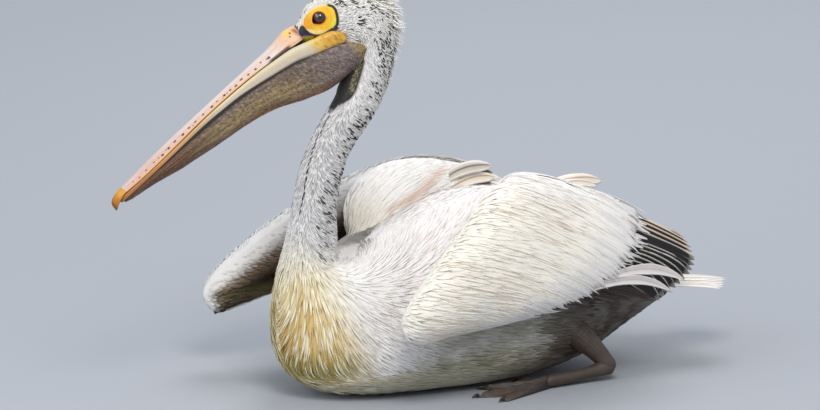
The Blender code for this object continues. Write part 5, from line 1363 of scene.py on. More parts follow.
def black_feathers():
    """Short curved black feathers among the pale ones, the dotted line down the neck, and the crest."""
    rng = np.random.default_rng(41)
    coat = Coat("dark_feathers")
    s, phi = rows_over(body_at, 0.3, 14.6, 0.0, 2 * math.pi, 0.00255, rng, wrap=True, stretch=1.6)
    p0 = body_at(s, phi)
    patch = np.clip(0.9 + 1.6 * noise3(p0, 0.0065, 15), 0.05, 2.4)
    ok = (rng.uniform(0, 1, len(s)) < dark_share(s, phi) * patch) & (naked_face(p0, s) < 0.2) & (gullet(s, phi) < 0.2)
    s, phi = keep(ok, s, phi)
    # the line of dots down the front of the left and right side of the neck
    for mirror in (1, -1):
        ls = np.arange(10.2, 12.9, 0.125) + rng.uniform(-0.04, 0.04, len(np.arange(10.2, 12.9, 0.125)))
        lp = mirror * (2.80 + 0.10 * np.sin(ls * 1.9) + rng.normal(0, 0.025, len(ls)))
        s, phi = np.concatenate([s, ls]), np.concatenate([phi, lp % (2 * math.pi)])
    n = len(s)
    line = np.arange(n) >= n - 2 * len(ls)
    length = 0.001 * rng.uniform(4.2, 6.4, n) * np.interp(s, [0, 2, 4, 9, 12, 14], [0.55, 0.7, 1.0, 1.0, 1.1, 1.2])
    length = length * (1 + 0.25 * smooth(s, 8.6, 10.0))
    length = np.where(line, 0.0068, length)
    tip = rng.uniform(0.0005, 0.0011, n)
    pts, ups, runs, A, B = march(body_at, s, phi, length, lie_of_body, 5, np.full(n, -0.0002), tip, e=(0.02, 0.02))
    width = 0.001 * rng.uniform(0.42, 0.72, n) * np.interp(s, [0, 3, 9, 14], [0.9, 1.15, 1.0, 0.75])
    width = width * (1 + 0.35 * smooth(s, 8.6, 10.0))
    width = np.where(line, 0.00078 * rng.uniform(0.6, 1.35, n), width)
    fade = smooth(s, 11.0, 14.0)[:, None] * (~line)[:, None]
    col = BLACK * (1 - fade) + srgb(84, 80, 78) * fade
    c = np.repeat(col[:, None, :], 5, 1)
    swing = rng.normal(0, 1, n) * np.interp(s, [0, 5, 9, 12], [0.0022, 0.0020, 0.0012, 0.0005])
    p0 = body_at(s, phi)
    lay(coat, pts, ups, runs, width, np.full(n, 0.00020), c, body_uv(s, phi), rng.normal(0, 0.1, n),
        (0.55, 1.0, 1.0, 0.8, 0.0), swing, edge=0.9)
    # wispy crest down the back of the head and the nape
    n = 760
    s = rng.uniform(3.9, 8.8, n)
    phi = rng.normal(0, 0.36, n)
    length = 0.001 * rng.uniform(15, 33, n) * np.interp(s, [3.9, 4.8, 6.3, 8.6], [0.5, 0.95, 1.0, 0.6])
    lift = 0.001 * rng.uniform(2.0, 16.0, n) * np.interp(s, [3.9, 5.0, 6.4, 8.6], [0.25, 0.95, 1.0, 0.35])

    def lie(a, b, p, nn, f):
        d = lie_of_body(a, b, p, nn, f)
        return turned(d, nn, 0.5 * noise3(p, 0.004, 25))

    pts, ups, runs, A, B = march(body_at, s, phi, length, lie, 6, np.full(n, -0.0015), lift, lift=1.25, e=(0.02, 0.02))
    dark = rng.uniform(0, 1, n) < 0.26 * (lift < 0.005)
    col = np.where(dark[:, None], BLACK, srgb(238, 234, 226) * rng.uniform(0.88, 1.05, (n, 1)))
    c = np.repeat(col[:, None, :], 6, 1)
    lay(coat, pts, ups, runs, 0.001 * rng.uniform(0.45, 0.85, n), np.full(n, 0.0002), c, body_uv(s, phi % (2 * math.pi)),
        rng.normal(0, 0.3, n), (0.6, 1.0, 0.95, 0.8, 0.5, 0.0), rng.normal(0, 0.0030, n), edge=0.92)
    coat.build("plumage", down_mat)


black_feathers()

# ---------------------------------------------------------------------------
# Coverts of both wings and of the right shoulder
# ---------------------------------------------------------------------------
covert_mat = painted("Wing coverts", 0.60, grain=(1500.0, 0.04), bump=((2600.0, 0.25, 0.00015),), specular=0.3)

# slope of the left wing's coverts below level, at the front edge, the middle and the hind edge of each row
LEFT_SLOPES = [(8, 18, 36), (8, 26, 44), (8, 28, 47), (8, 25, 46), (10, 21, 44), (12, 16, 40), (10, 8, 25), (5, 5, 15)]
RIGHT_SLOPES = [(20, 20, 20), (-18, -6, 10), (-22, -10, 0), (-25, -14, 0), (-22, -10, 5), (-12, 0, 12), (-8, 6, 18), (-5, 8, 20)]


def slope_at(table, t, c):
    g = np.asarray(table, float)
    i = np.clip(t, 0, len(g) - 1.001)
    k = i.astype(int)
    f = i - k
    row = g[k] * (1 - f)[..., None] + g[k + 1] * f[..., None]
    c = np.clip(c, 0, 1) * 2
    return np.where(c < 1, row[..., 0] + (row[..., 1] - row[..., 0]) * c, row[..., 1] + (row[..., 2] - row[..., 1]) * (c - 1))


def wing_coat(name, which, rows, mirror, side, spacing, seed, slopes):
    rng = np.random.default_rng(seed)

    def face(c, t, h=0.0):
        return wing_point(rows, np.clip(t, 0.03, 6.97), np.clip(c, 0.003, 1.3), side, h, mirror)

    c, t = rows_over(face, 0.004, 0.74, 0.12, 6.95, spacing, rng, stretch=2.9)
    n = len(c)

    def lie(c, t, p, nrm, f):
        d = sloping(nrm, slope_at(slopes, t, c) + 5 * noise3(p, 0.016, 31))
        rear = unit(face(c + 0.01, t) - face(c - 0.01, t))
        edge_on = 1 - smooth(np.abs((nrm * ACROSS).sum(-1)), 0.15, 0.40)
        aim = unit(d + rear * 0.25)
        return unit(aim * (1 - edge_on)[..., None] + rear * edge_on[..., None])

    p0 = face(c, t)
    nrm = unit(face(c, t, 5e-4) - p0)
    chord = np.linalg.norm(face(c + 0.01, t) - face(c - 0.01, t), axis=-1) / 0.02
    go = lie(c, t, p0, nrm, 0.0)
    cos = np.maximum((go * unit(face(c + 0.01, t) - face(c - 0.01, t))).sum(-1), 0.35)
    beat = t * 1.7 + 0.3 * np.sin(t * 3.7)
    spans = [7, 12, 30, 50, 60] if which == "right" and side < 0 else [13, 30, 58, 68, 70]
    point = np.abs(2 * (beat % 1.0) - 1.0)
    limit = 0.890 + 0.105 * point ** 1.6 + rng.uniform(-0.018, 0.018, n)
    top_left = which == "left" and side > 0
    if top_left:
        limit = 0.835 + 0.060 * point ** 1.6 + rng.uniform(-0.020, 0.020, n) - 0.11 * (1 - smooth(t, 1.0, 2.0))
    want = 0.001 * np.interp(c, [0, 0.08, 0.3, 0.6, 0.8], spans) * rng.uniform(0.85, 1.1, n)
    length = np.clip(np.minimum(want, (limit - c) * chord / cos), 0.006, 0.075)
    depth = wing_depth(rows, t, c)
    m = 6
    pts, ups, runs, A, B = march(face, c, t, length, lie, m, -depth * 0.85, rng.uniform(-0.0003, 0.0007, n) * (0.4 + 0.6 * smooth(c, 0.05, 0.3)), lift=0.7,
                                 e=(0.004, 0.02), most=(0.09, 0.5))
    width = 0.001 * (1.9 + 1.0 * smooth(c, 0.0, 0.5)) * rng.uniform(0.9, 1.12, n)
    mid = c + (0.75 if which == "right" and side < 0 else 0.40) * np.clip(length * cos / chord, 0, 0.4)
    col = wing_colour(which, t, mid, np.full(n, side), p0) * rng.uniform(0.965, 1.02, (n, 1))
    if which == "left" and side > 0:
        col = mix(col, srgb(232, 214, 198), (rng.uniform(0, 1, n) < 0.05) * 0.5)
    k = np.linspace(0, 1, m)[None, :, None]
    # darker at the root than at the tip: painted shade where each covert lies under the next
    colour = col[:, None, :] * (0.94 + 0.08 * k)
    coat = Coat(name)
    fore = smooth(c, 0.04, 0.14)
    lay(coat, pts, ups, runs, width, 0.00022 + 0.00020 * fore, np.clip(colour, 0, 1), wing_uv(which, t, c, np.full(n, side)),
        rng.normal(0.0, 0.06, n) * (0.35 + 0.65 * fore), (0.28, 0.80, 1.0, 0.88, 0.50, 0.0), rng.normal(0, 0.0009, n), edge=0.93)
    # long fine hair-like barbs, darker and warmer than the coverts, that draw the lines along them: painted shade lines
    # between the feathers
    k2 = 300 if side > 0 else 200
    t2 = rng.uniform(0.3, 6.9, k2)
    c2 = rng.uniform(0.02, 0.72, k2) ** 1.0
    p2 = face(c2, t2)
    chord2 = np.linalg.norm(face(c2 + 0.01, t2) - face(c2 - 0.01, t2), axis=-1) / 0.02
    len2 = np.clip(np.minimum(0.001 * rng.uniform(35, 80, k2), (0.90 - c2) * chord2), 0.01, 0.08)
    pts, ups, runs, A, B = march(face, c2, t2, len2, lie, 7, np.full(k2, -0.0001), rng.uniform(0.0002, 0.0007, k2), lift=0.7,
                                 e=(0.004, 0.02), most=(0.09, 0.5))
    base = wing_colour(which, t2, np.clip(c2 + 0.15, 0, 1), np.full(k2, side), p2)
    shade2 = base * (srgb(234, 221, 204) / srgb(246, 242, 232)) * rng.uniform(0.86, 1.02, (k2, 1))
    lay(coat, pts, ups, runs, 0.001 * rng.uniform(0.28, 0.50, k2), np.full(k2, 0.00030), np.repeat(shade2[:, None], 7, 1),
        wing_uv(which, t2, c2, np.full(k2, side)), rng.normal(0, 0.1, k2), (0.3, 0.8, 1.0, 1.0, 0.8, 0.5, 0.0), edge=0.95)
    # the last row: long pointed coverts over the flight feathers
    step = 0.34 if top_left else 0.29
    t3 = np.concatenate([np.arange(0.35, 6.9, step), np.arange(0.48, 6.9, 2 * step)]) + 0.0
    t3 = t3 + rng.uniform(-0.05, 0.05, len(t3))
    k3 = len(t3)
    c3 = np.full(k3, 0.60 if top_left else 0.70)
    p3 = face(c3, t3)
    chord3 = np.linalg.norm(face(c3 + 0.01, t3) - face(c3 - 0.01, t3), axis=-1) / 0.02
    reach3 = np.where(np.arange(k3) % 3 == 0, 1.035, 0.985) + rng.uniform(-0.02, 0.02, k3)
    if top_left:
        reach3 = np.where(np.arange(k3) % 2 == 0, 1.085, 0.985) + rng.uniform(-0.03, 0.02, k3)
        reach3 = reach3 - 0.050 * smooth(t3, 2.4, 2.9) * (1 - smooth(t3, 3.7, 4.2)) - 0.12 * (1 - smooth(t3, 0.9, 1.9))
    pts, ups, runs, A, B = march(face, c3, t3, np.clip((reach3 - c3) * chord3 * 1.12, 0.02, 0.09), lie, 8,
                                 np.full(k3, -0.0004), rng.uniform(0.0004, 0.0012, k3), lift=0.7, e=(0.004, 0.02), most=(0.09, 0.5))
    base = wing_colour(which, t3, np.full(k3, 0.85), np.full(k3, side), p3)
    # fade darkens each root a little: painted shade where the coverts lie under the ones before
    fade = np.linspace(0.95, 1.0, 8)[None, :, None]
    base = base * rng.uniform(0.92, 1.03, (k3, 1))
    lay(coat, pts, ups, runs, 0.001 * rng.uniform(3.4, 4.8, k3), np.full(k3, 0.0007), np.clip(base[:, None] * fade, 0, 1),
        wing_uv(which, t3, c3, np.full(k3, side)), rng.normal(0, 0.08, k3), (0.4, 0.8, 0.95, 1.0, 0.86, 0.58, 0.27, 0.0),
        rng.normal(0, 0.002, k3), edge=0.86)
    coat.build("plumage", covert_mat)


FLAT = [(s, s, s) for s in (15, 15, 15, 15, 15, 12, 8, 5)]
wing_coat("coverts_left_over", "left", WING_LEFT, 1, 1, 0.0031, 51, LEFT_SLOPES)
wing_coat("coverts_left_under", "left", WING_LEFT, 1, -1, 0.0040, 52, FLAT)
wing_coat("coverts_right_over", "right", WING_RIGHT, -1, 1, 0.0038, 53, FLAT)
wing_coat("coverts_right_under", "right", WING_RIGHT, -1, -1, 0.0033, 54, RIGHT_SLOPES)


def shoulder_coat():
    rng = np.random.default_rng(61)

    def face(t, a, h=0.0):
        return shoulder(np.clip(t, 0.03, 6.97), a, h)

    t, a = rows_over(face, 0.04, 6.6, 0.0, 2 * math.pi, 0.0030, rng, wrap=True, stretch=2.2)
    n = len(t)

    def lie(t, a, p, nrm, f):
        d = sloping(nrm, np.interp(t, [0, 1.5, 2.5, 4, 5.5, 7], [-62, -50, -36, -25, -8, 22]) + 5 * noise3(p, 0.014, 33))
        rear = unit(face(t + 0.02, a) - face(t - 0.02, a))
        edge_on = 1 - smooth(np.abs((nrm * ACROSS).sum(-1)), 0.15, 0.40)
        edge_on = np.maximum(edge_on, 1 - smooth(t, 0.7, 1.6))
        return unit(d * (1 - edge_on)[..., None] + rear * (edge_on + 0.25)[..., None])

    p0 = face(t, a)
    length = 0.001 * np.interp(t, [0, 1, 3, 6.6], [12, 22, 38, 34]) * rng.uniform(0.85, 1.1, n)
    depth = np.minimum(0.0026, 0.4 * spline(SHOULDER, t)[..., 4])
    pts, ups, runs, A, B = march(face, t, a, length, lie, 6, -depth * 0.85, rng.uniform(-0.0003, 0.0008, n), lift=0.7,
                                 e=(0.02, 0.02), most=(0.5, 0.6))
    col = shoulder_colour(t, a, p0) * rng.uniform(0.955, 1.03, (n, 1))
    coat = Coat("scapular_feathers")
    lay(coat, pts, ups, runs, 0.0024 * rng.uniform(0.9, 1.1, n), np.full(n, 0.0005), np.repeat(np.clip(col, 0, 1)[:, None], 6, 1),
        shoulder_uv(t, a), rng.normal(0, 0.07, n), (0.5, 0.92, 1.0, 0.86, 0.48, 0.0), rng.normal(0, 0.0008, n), edge=0.90)
    coat.build("plumage", covert_mat)


shoulder_coat()

# ---------------------------------------------------------------------------
# Long feathers, each a closed vane with a shaft: wings, elbows and tail
# ---------------------------------------------------------------------------
vane_mat = painted("Vanes", 0.52, grain=(1300.0, 0.06), bump=((2400.0, 0.3, 0.00015),), specular=0.35)


class Plumes:
    """Gathers long vanes and makes one piece of them."""

    def __init__(self, name):
        self.name, self.parts, self.count = name, [], 0

    def add(self, axis, side, half, tint, thick=0.0009, camber=0.18, shaft=0.0005):
        """axis, side (m,3); half width (m,); tint(f, x) gives colours along f and across x."""
        m = len(axis)
        run = unit(np.gradient(axis, axis=0))
        side = unit(side - run * (side * run).sum(-1, keepdims=True))
        out = np.cross(run, side)
        out = np.where((out[:, 2] < 0)[:, None] & (np.abs(out[:, 2:]) > 0.05), -out, out)
        if out[:, 2].mean() < 0:
            out = -out
        x = np.concatenate([np.linspace(-1, 1, 9), np.linspace(0.75, -0.75, 7)])
        up = np.concatenate([np.ones(9), -np.ones(7)])
        body_h = up * thick * 0.5 * (1 - x ** 2) + np.where(up > 0, shaft, 0) * np.exp(-(x / 0.13) ** 2)
        f = np.linspace(0, 1, m)[:, None] + 0 * x[None]
        X = x[None] + 0 * f
        fade = (1 - 0.6 * f)
        h = body_h[None] * fade - camber * half[:, None] * X ** 2
        p = axis[:, None] + side[:, None] * (half[:, None] * X)[..., None] + out[:, None] * h[..., None]
        p[..., 2] = np.maximum(p[..., 2], 0.0004)
        verts, quads, tris = closed_tube(p)
        if not outward(verts - verts.mean(0), quads, tris):
            quads, tris = quads[:, ::-1], tris[:, ::-1]
        col = tint(f, X)
        col = np.concatenate([col.reshape(-1, 3), col[0].mean(0)[None], col[-1].mean(0)[None]])
        self.parts.append((verts, quads + self.count, tris + self.count, col))
        self.count += len(verts)

    def build(self, mat, nodes):
        v, q, t, c = (np.concatenate([p[i] for p in self.parts]) for i in range(4))
        obj = add_mesh(self.name, v, q, t, np.clip(c, 0, 1), None, mat)
        print("plumes", self.name, len(self.parts), "triangles", 2 * len(q) + len(t))
        return finish_piece(obj, nodes)


def curve3(a, b, c, m):
    k = np.linspace(0, 1, m)[:, None]
    return np.asarray(a) * (1 - k) ** 2 + 2 * np.asarray(b) * k * (1 - k) + np.asarray(c) * k * k


def through3(a, b, c, m):
    """Curve from a to c that passes b half way."""
    a, b, c = np.asarray(a, float), np.asarray(b, float), np.asarray(c, float)
    return curve3(a, 2 * b - 0.5 * (a + c), c, m)


def banded(centre, middle, edge, rim, core=0.30, outer=0.78, rng=None, streak=0.05):
    """Colour of a vane: dark along the shaft, lighter webs, pale rim."""
    phase = rng.uniform(0, 50)

    def tint(f, x):
        a = np.abs(x)
        c = np.broadcast_to(centre, f.shape + (3,)).copy()
        c = mix(c, middle, smooth(a, core - 0.08, core + 0.12))
        c = mix(c, edge, smooth(a, outer - 0.10, outer + 0.02))
        c = mix(c, rim, smooth(a, outer + 0.06, outer + 0.14))
        c = mix(c, rim, smooth(f, 0.985, 1.0) * 0.6)
        wave = np.sin(x * 37 + f * 23 + phase) * np.sin(x * 11 - f * 51 + phase)
        return c * (1 + streak * wave)[..., None]
    return tint


VANE_PROFILE = np.interp(np.linspace(0, 1, 15), [0, 0.15, 0.45, 0.75, 0.88, 0.96, 1.0], [0.35, 0.62, 0.95, 1.0, 0.80, 0.42, 0.05])
POINTED = np.interp(np.linspace(0, 1, 15), [0, 0.2, 0.5, 0.75, 0.9, 1.0], [0.4, 0.8, 1.0, 0.72, 0.36, 0.04])
INK, SOOT = srgb(20, 17, 17), srgb(34, 28, 26)
UMBER, EARTH = srgb(62, 48, 42), srgb(96, 78, 66)
TAN, SAND, CHALK = srgb(204, 178, 154), srgb(222, 206, 184), srgb(240, 237, 230)


def flight_axis(rows, tips, t, m=15, drop=0.0, reach=1.0, shift=0.0):
    """Middle line of a flight feather at row t: from under the coverts to its tip, and its sideways direction."""
    base, n0, dt0, _ = wing_frame(rows, t, 0.62)
    edge, n1, dt1, _ = wing_frame(rows, t, 0.96)
    p0, p1 = base - n0 * (0.0060 + drop), edge - n1 * (0.0045 + drop)
    p2 = p1 + (spline(tips, t - shift) - n1 * drop - p1) * reach
    run = unit(p1 - p0)
    bend = p1 + run * np.linalg.norm(p2 - p1) * 0.40
    k = np.linspace(0, 1, m)[:, None]
    first = max(3, m // 3)
    a = p0 + (p1 - p0) * np.linspace(0, 1, first, endpoint=False)[:, None]
    k = np.linspace(0, 1, m - first)[:, None]
    b = p1 * (1 - k) ** 2 + 2 * bend * k * (1 - k) + p2 * k * k
    s1 = unit(spline(tips, t + 0.15) - spline(tips, t - 0.15))
    w = np.linspace(0, 1, m)[:, None]
    return np.concatenate([a, b]), unit(dt1 * (1 - w) + s1 * w)


def lean(side, axis, angle):
    run = unit(np.gradient(axis, axis=0))
    s = unit(side - run * (side * run).sum(-1, keepdims=True))
    return s * math.cos(angle) + np.cross(run, s) * math.sin(angle)


def flight_feathers(which, rows, tips, mirror, seed):
    rng = np.random.default_rng(seed)
    out = Plumes("flight_feathers_" + which + "_vanes")
    flip = np.array([mirror, 1, 1])
    # inner quills near the elbow: tan webs with dark shafts and pale rims
    for i, t in enumerate(np.linspace(0.55, 1.75, 8)):
        axis, side = flight_axis(rows, tips, t, drop=-0.0035 + 0.0006 * i, reach=0.985 + 0.02 * rng.uniform(-1, 1))
        tint = banded(INK, TAN, SAND, CHALK, 0.38, 0.80, rng)
        out.add(axis * flip, lean(side, axis, 0.18) * flip, 0.0070 * VANE_PROFILE, tint)
    # black quills with fine white rims
    for i, t in enumerate(np.linspace(1.85, 3.45, 10)):
        axis, side = flight_axis(rows, tips, t, drop=0.0008 * (i % 3), reach=1.0 - 0.03 * rng.uniform(0, 1))
        tint = banded(INK, INK, INK, srgb(226, 220, 210), 0.3, 0.80, rng)
        out.add(axis * flip, lean(side, axis, 0.20) * flip, 0.0088 * VANE_PROFILE, tint)
    # frayed brown-black quills toward the wrist
    for i, t in enumerate(np.linspace(3.5, 6.85, 34)):
        full = np.interp(t, [4.0, 4.8], [1.0, 0.25]) if which == "left" else 1.0
        axis, side = flight_axis(rows, tips, t, drop=0.0010 * (i % 4), reach=full - 0.20 * rng.uniform(0, 1) ** 1.5, shift=0.45)
        deep = UMBER * (0.75 if i % 2 else 1.0) if i % 3 else EARTH * 0.9
        tint = banded(SOOT, deep * 0.8, deep, deep * 1.25, 0.2, 0.7, rng, 0.14)
        out.add(axis * flip, lean(side, axis, rng.uniform(-0.25, 0.35)) * flip, rng.uniform(0.0040, 0.0062) * POINTED, tint)
    # two pale quills that lie over the black ones near the rear
    for t0, t1, t2, wide, k1 in ((3.70, 2.95, 2.62, 0.0075, 0.36), (4.20, 3.44, 3.08, 0.0065, 0.34)):
        a, n, _, _ = wing_frame(rows, t0, 0.90)
        p1, side = flight_axis(rows, tips, t1, 31)
        p2, _ = flight_axis(rows, tips, t2, 31)
        start = 11
        mid = p1[start + int(19 * k1)] + n * 0.0035
        end = p2[-1] * 0.97 + p2[-5] * 0.03 + n * 0.0022
        axis = through3(a + n * 0.0005, mid, end, 15)
        tint = banded(srgb(206, 194, 188), srgb(232, 223, 218), srgb(240, 234, 229), CHALK, 0.10, 0.7, rng, 0.03)
        out.add(axis * flip, lean(np.repeat(unit(p1[-1] - p1[-3])[None], 15, 0) * 0 + unit(spline(tips, t1 + 0.15) - spline(tips, t1 - 0.15)), axis, 0.0) * flip,
                wide * POINTED, tint, camber=0.3)
    out.build(vane_mat, ("flight_feathers_" + which,))


flight_feathers("left", WING_LEFT, FLIGHT_LEFT, 1, 71)
flight_feathers("right", WING_RIGHT, FLIGHT_RIGHT, -1, 72)


def elbow_feathers(which, vanes, seed):
    """Tertials: blades over each other, each from root through middle to tip, with half width and lean."""
    rng = np.random.default_rng(seed)
    out = Plumes("tertials_" + which + "_vanes")
    for a, b, c, wide, tilt, (centre, web, rim) in vanes:
        axis = through3(a, b, c, 15)
        run = unit(np.gradient(axis, axis=0))
        across = unit(np.cross(run, np.array([0.0, 0.0, 1.0])))
        up = np.cross(across, run)
        side = across * math.cos(tilt) + up * math.sin(tilt)
        tint = banded(centre, web, web * 0.5 + rim * 0.5, rim, 0.16, 0.72, rng, 0.05)
        out.add(axis, side, wide * VANE_PROFILE, tint, thick=0.0011, camber=0.22)
    out.build(vane_mat, ("tertials_" + which,))


PALE_WEB = (srgb(150, 134, 118), srgb(222, 208, 190), CHALK)
GREY_WEB = (srgb(96, 84, 74), srgb(190, 180, 168), CHALK)
DARK_WEB = (srgb(40, 34, 30), srgb(92, 78, 66), srgb(214, 198, 176))
elbow_feathers("right", [
    ((-0.042, -0.002, 0.2290), (-0.042, 0.0400, 0.2490), (-0.042, 0.0800, 0.2490), 0.0085, -0.75, DARK_WEB),
    ((-0.040, -0.002, 0.2380), (-0.040, 0.0346, 0.2585), (-0.040, 0.0785, 0.2580), 0.0098, -0.75, GREY_WEB),
    ((-0.035, 0.000, 0.2190), (-0.035, 0.0420, 0.2385), (-0.034, 0.0740, 0.2370), 0.0080, -0.75, DARK_WEB),
    ((-0.036, -0.003, 0.2242), (-0.036, 0.0409, 0.2455), (-0.036, 0.0792, 0.2440), 0.0098, -0.75, PALE_WEB),
    ((-0.028, -0.014, 0.2080), (-0.028, 0.0270, 0.2290), (-0.028, 0.0560, 0.2270), 0.0070, -0.75, DARK_WEB),
    ((-0.030, -0.019, 0.2124), (-0.030, 0.0264, 0.2345), (-0.030, 0.0590, 0.2300), 0.0095, -0.75, PALE_WEB),
    ((-0.024, -0.005, 0.2112), (-0.024, 0.0261, 0.2260), (-0.024, 0.0516, 0.2240), 0.0078, -0.75, PALE_WEB),
], 81)
elbow_feathers("left", [
    ((0.050, 0.0950, 0.2420), (0.032, 0.1560, 0.2445), (0.020, 0.1960, 0.2350), 0.0098, -0.60, PALE_WEB),
    ((0.054, 0.0900, 0.2440), (0.034, 0.1540, 0.2485), (0.018, 0.2035, 0.2375), 0.0106, -0.60, PALE_WEB),
    ((0.060, 0.0950, 0.2440), (0.044, 0.1480, 0.2470), (0.034, 0.1880, 0.2355), 0.0090, -0.45, PALE_WEB),
], 82)


def tail_feathers():
    rng = np.random.default_rng(83)
    out = Plumes("tail_vanes")
    for i, j in enumerate(sorted(np.linspace(-1, 1, 14), key=lambda q: -abs(q))):
        reach = 0.3915 - 0.024 * abs(j) ** 1.25 - 0.002 * (i % 2)
        a = (0.022 * j, 0.272, 0.0985 - 0.004 * abs(j))
        b = (0.030 * j, 0.330, 0.0935 + 0.0015 - 0.0030 * abs(j) + 0.0003 * i)
        c = (0.034 * j, reach, 0.0862 - 0.002 * abs(j) + 0.0002 * i)
        axis = through3(a, b, c, 15)
        side = np.repeat(np.array([[1.0, 0.0, -0.15 * j]]), 15, 0)
        tint = banded(srgb(170, 142, 112), srgb(228, 222, 214), srgb(236, 232, 226), CHALK, 0.10, 0.7, rng, 0.04)
        out.add(axis, side, 0.0078 * VANE_PROFILE, tint, camber=0.10)
    out.build(vane_mat, ("tail",))


tail_feathers()

# ---------------------------------------------------------------------------
# Legs, webbed feet and claws, tucked beside the belly
# ---------------------------------------------------------------------------
leg_mat = painted("Scaly leg skin", 0.50, grain=(1600.0, 0.10), bump=((1500.0, 0.35, 0.0002), (4200.0, 0.3, 0.0001)), specular=0.4)
claw_mat = painted("Claw horn", 0.35, grain=(1400.0, 0.10), bump=((2600.0, 0.25, 0.0001),), specular=0.5)
ANKLE = np.array([0.098, 0.168, 0.0215])
TOE_BASE = (0.103, 0.088)
TOES = [(-58.0, 0.046), (-20.0, 0.084), (3.0, 0.106), (23.0, 0.096)]     # angle from -Y towards the outside, length


def cells(u, v):
    """0 in the grooves and 1 on the scales of a six-sided pattern of about unit size."""
    v = v / 0.866
    row = np.floor(v)
    near = np.full(np.shape(u), 9.0)
    second = near.copy()
    for dr in (-1, 0, 1, 2):
        r = row + dr
        off = 0.5 * (r % 2)
        base = np.floor(u - off)
        for dc in (-1, 0, 1, 2):
            d = np.hypot(u - (base + dc + off), (v - r) * 0.866)
            second = np.minimum(second, np.maximum(near, d))
            near = np.minimum(near, d)
    return smooth(second - near, 0.03, 0.34)


def limb(path, radii, around, rows, scale):
    """Rounded tube of scaly skin through the path: verts, quads, tris, colours."""
    path, radii = np.asarray(path, float), np.asarray(radii, float)
    x = np.linspace(0, len(path) - 1, rows)
    mid, r = spline(path, x), spline(radii[:, None], x)[:, 0]
    run = unit(np.gradient(mid, axis=0))
    length = np.concatenate([[0], np.cumsum(np.linalg.norm(np.diff(mid, axis=0), axis=1))])
    end = np.minimum(length, length[-1] - length)
    r = r * np.sqrt(np.clip(1 - (1 - np.clip(end / (0.8 * r), 0, 1)) ** 2, 0.03, 1))
    u = unit(np.cross(run, np.array([0.0, 0.0, 1.0])))
    v = np.cross(u, run)
    a = np.linspace(0, 2 * math.pi, around, endpoint=False)
    count = max(6, int(round(2 * math.pi * r.max() * 0.8 / scale)))
    plate = cells(a[None, :] / (2 * math.pi) * count + 0 * length[:, None], length[:, None] / scale + 0 * a[None, :])
    rr = r[:, None] - 0.0003 + 0.00030 * plate
    p = mid[:, None] + rr[..., None] * (np.cos(a)[None, :, None] * u[:, None] + np.sin(a)[None, :, None] * v[:, None])
    tone = noise3(p, 0.006, 61)
    col = mix(np.broadcast_to(srgb(40, 33, 30), p.shape), srgb(92, 79, 70), plate * (0.75 + 0.2 * tone))
    p[..., 2] = np.maximum(p[..., 2], 0.0004)
    verts, quads, tris = closed_tube(p)
    return verts, quads, tris, np.concatenate([col.reshape(-1, 3), col[0].mean(0)[None], col[-1].mean(0)[None]])


def toe_reach(theta):
    ang, reach = np.array([t[0] for t in TOES]), np.array([t[1] for t in TOES])
    th = np.clip(theta, ang[0], ang[-1])
    i = np.clip(np.searchsorted(ang, th) - 1, 0, len(ang) - 2)
    f = (th - ang[i]) / (ang[i + 1] - ang[i])
    return (reach[i] + (reach[i + 1] - reach[i]) * f) * (1 - 0.22 * np.sin(np.pi * f))


def webbed_foot():
    """Web and toes in one closed sheet, with scales along the toes and fine pleats in the web."""
    ang = np.linspace(TOES[0][0] - 4.0, TOES[-1][0] + 3.0, 190)[:, None]
    s = np.concatenate([np.linspace(0, 0.9, 74), np.linspace(0.9, 1.0, 14)[1:]])[None, :]
    edge = np.minimum(1, np.abs(ang - np.clip(ang, TOES[0][0], TOES[-1][0])) / 4.0)
    r = 0.004 + toe_reach(ang) * s * (1 - 0.05 * edge)
    near = np.min([np.abs(ang - t[0]) for t in TOES], axis=0)
    x, y = TOE_BASE[0] + r * np.sin(np.radians(ang)), TOE_BASE[1] - r * np.cos(np.radians(ang))
    arc, wide = r * np.radians(near), 0.0054 - 0.0026 * s
    on_toe = np.exp(-(arc / wide) ** 2)
    ridge = (0.0105 - 0.0055 * s) * on_toe
    z = 0.0022 + ridge * (1 - smooth(s, 0.90, 1.0) * 0.75) + 0.0035 * (1 - smooth(s, 0, 0.3))
    rim = 1 - smooth(s, 0.955, 1.0)
    z = 0.0010 + (z - 0.0010) * rim
    joint = 0.0005 * np.cos(2 * math.pi * r / 0.021) * on_toe * smooth(s, 0.2, 0.3)
    plate = cells(x / 0.0024 + 0 * s, y / 0.0024 + 0 * s)
    pleat = noise3(np.stack([ang * 0.0010 + 0 * s, r * 0.12, 0 * r], -1), 0.0016, 62)
    z = z + joint + 0.00028 * (plate - 1) * on_toe + 0.00030 * pleat * (1 - on_toe) * rim * smooth(s, 0.15, 0.4)
    top = np.stack([x, y, z], -1)
    low = np.stack([x, y, np.full_like(x, 0.0003)], -1)
    tone = noise3(top, 0.008, 63)
    web = mix(np.broadcast_to(srgb(84, 70, 62), top.shape), srgb(58, 48, 44), smooth(pleat, -0.3, 0.6))
    toe = mix(np.broadcast_to(srgb(38, 31, 29), top.shape), srgb(86, 74, 67), plate * (0.8 + 0.2 * tone))
    col = mix(web, toe, smooth(on_toe, 0.25, 0.6))
    rings = np.concatenate([top, low[:, ::-1]], 1)
    c = np.concatenate([col, np.broadcast_to(srgb(60, 50, 46), low.shape)], 1)
    verts, quads, tris = closed_tube(rings)
    return verts, quads, tris, np.concatenate([c.reshape(-1, 3), c[0].mean(0)[None], c[-1].mean(0)[None]])


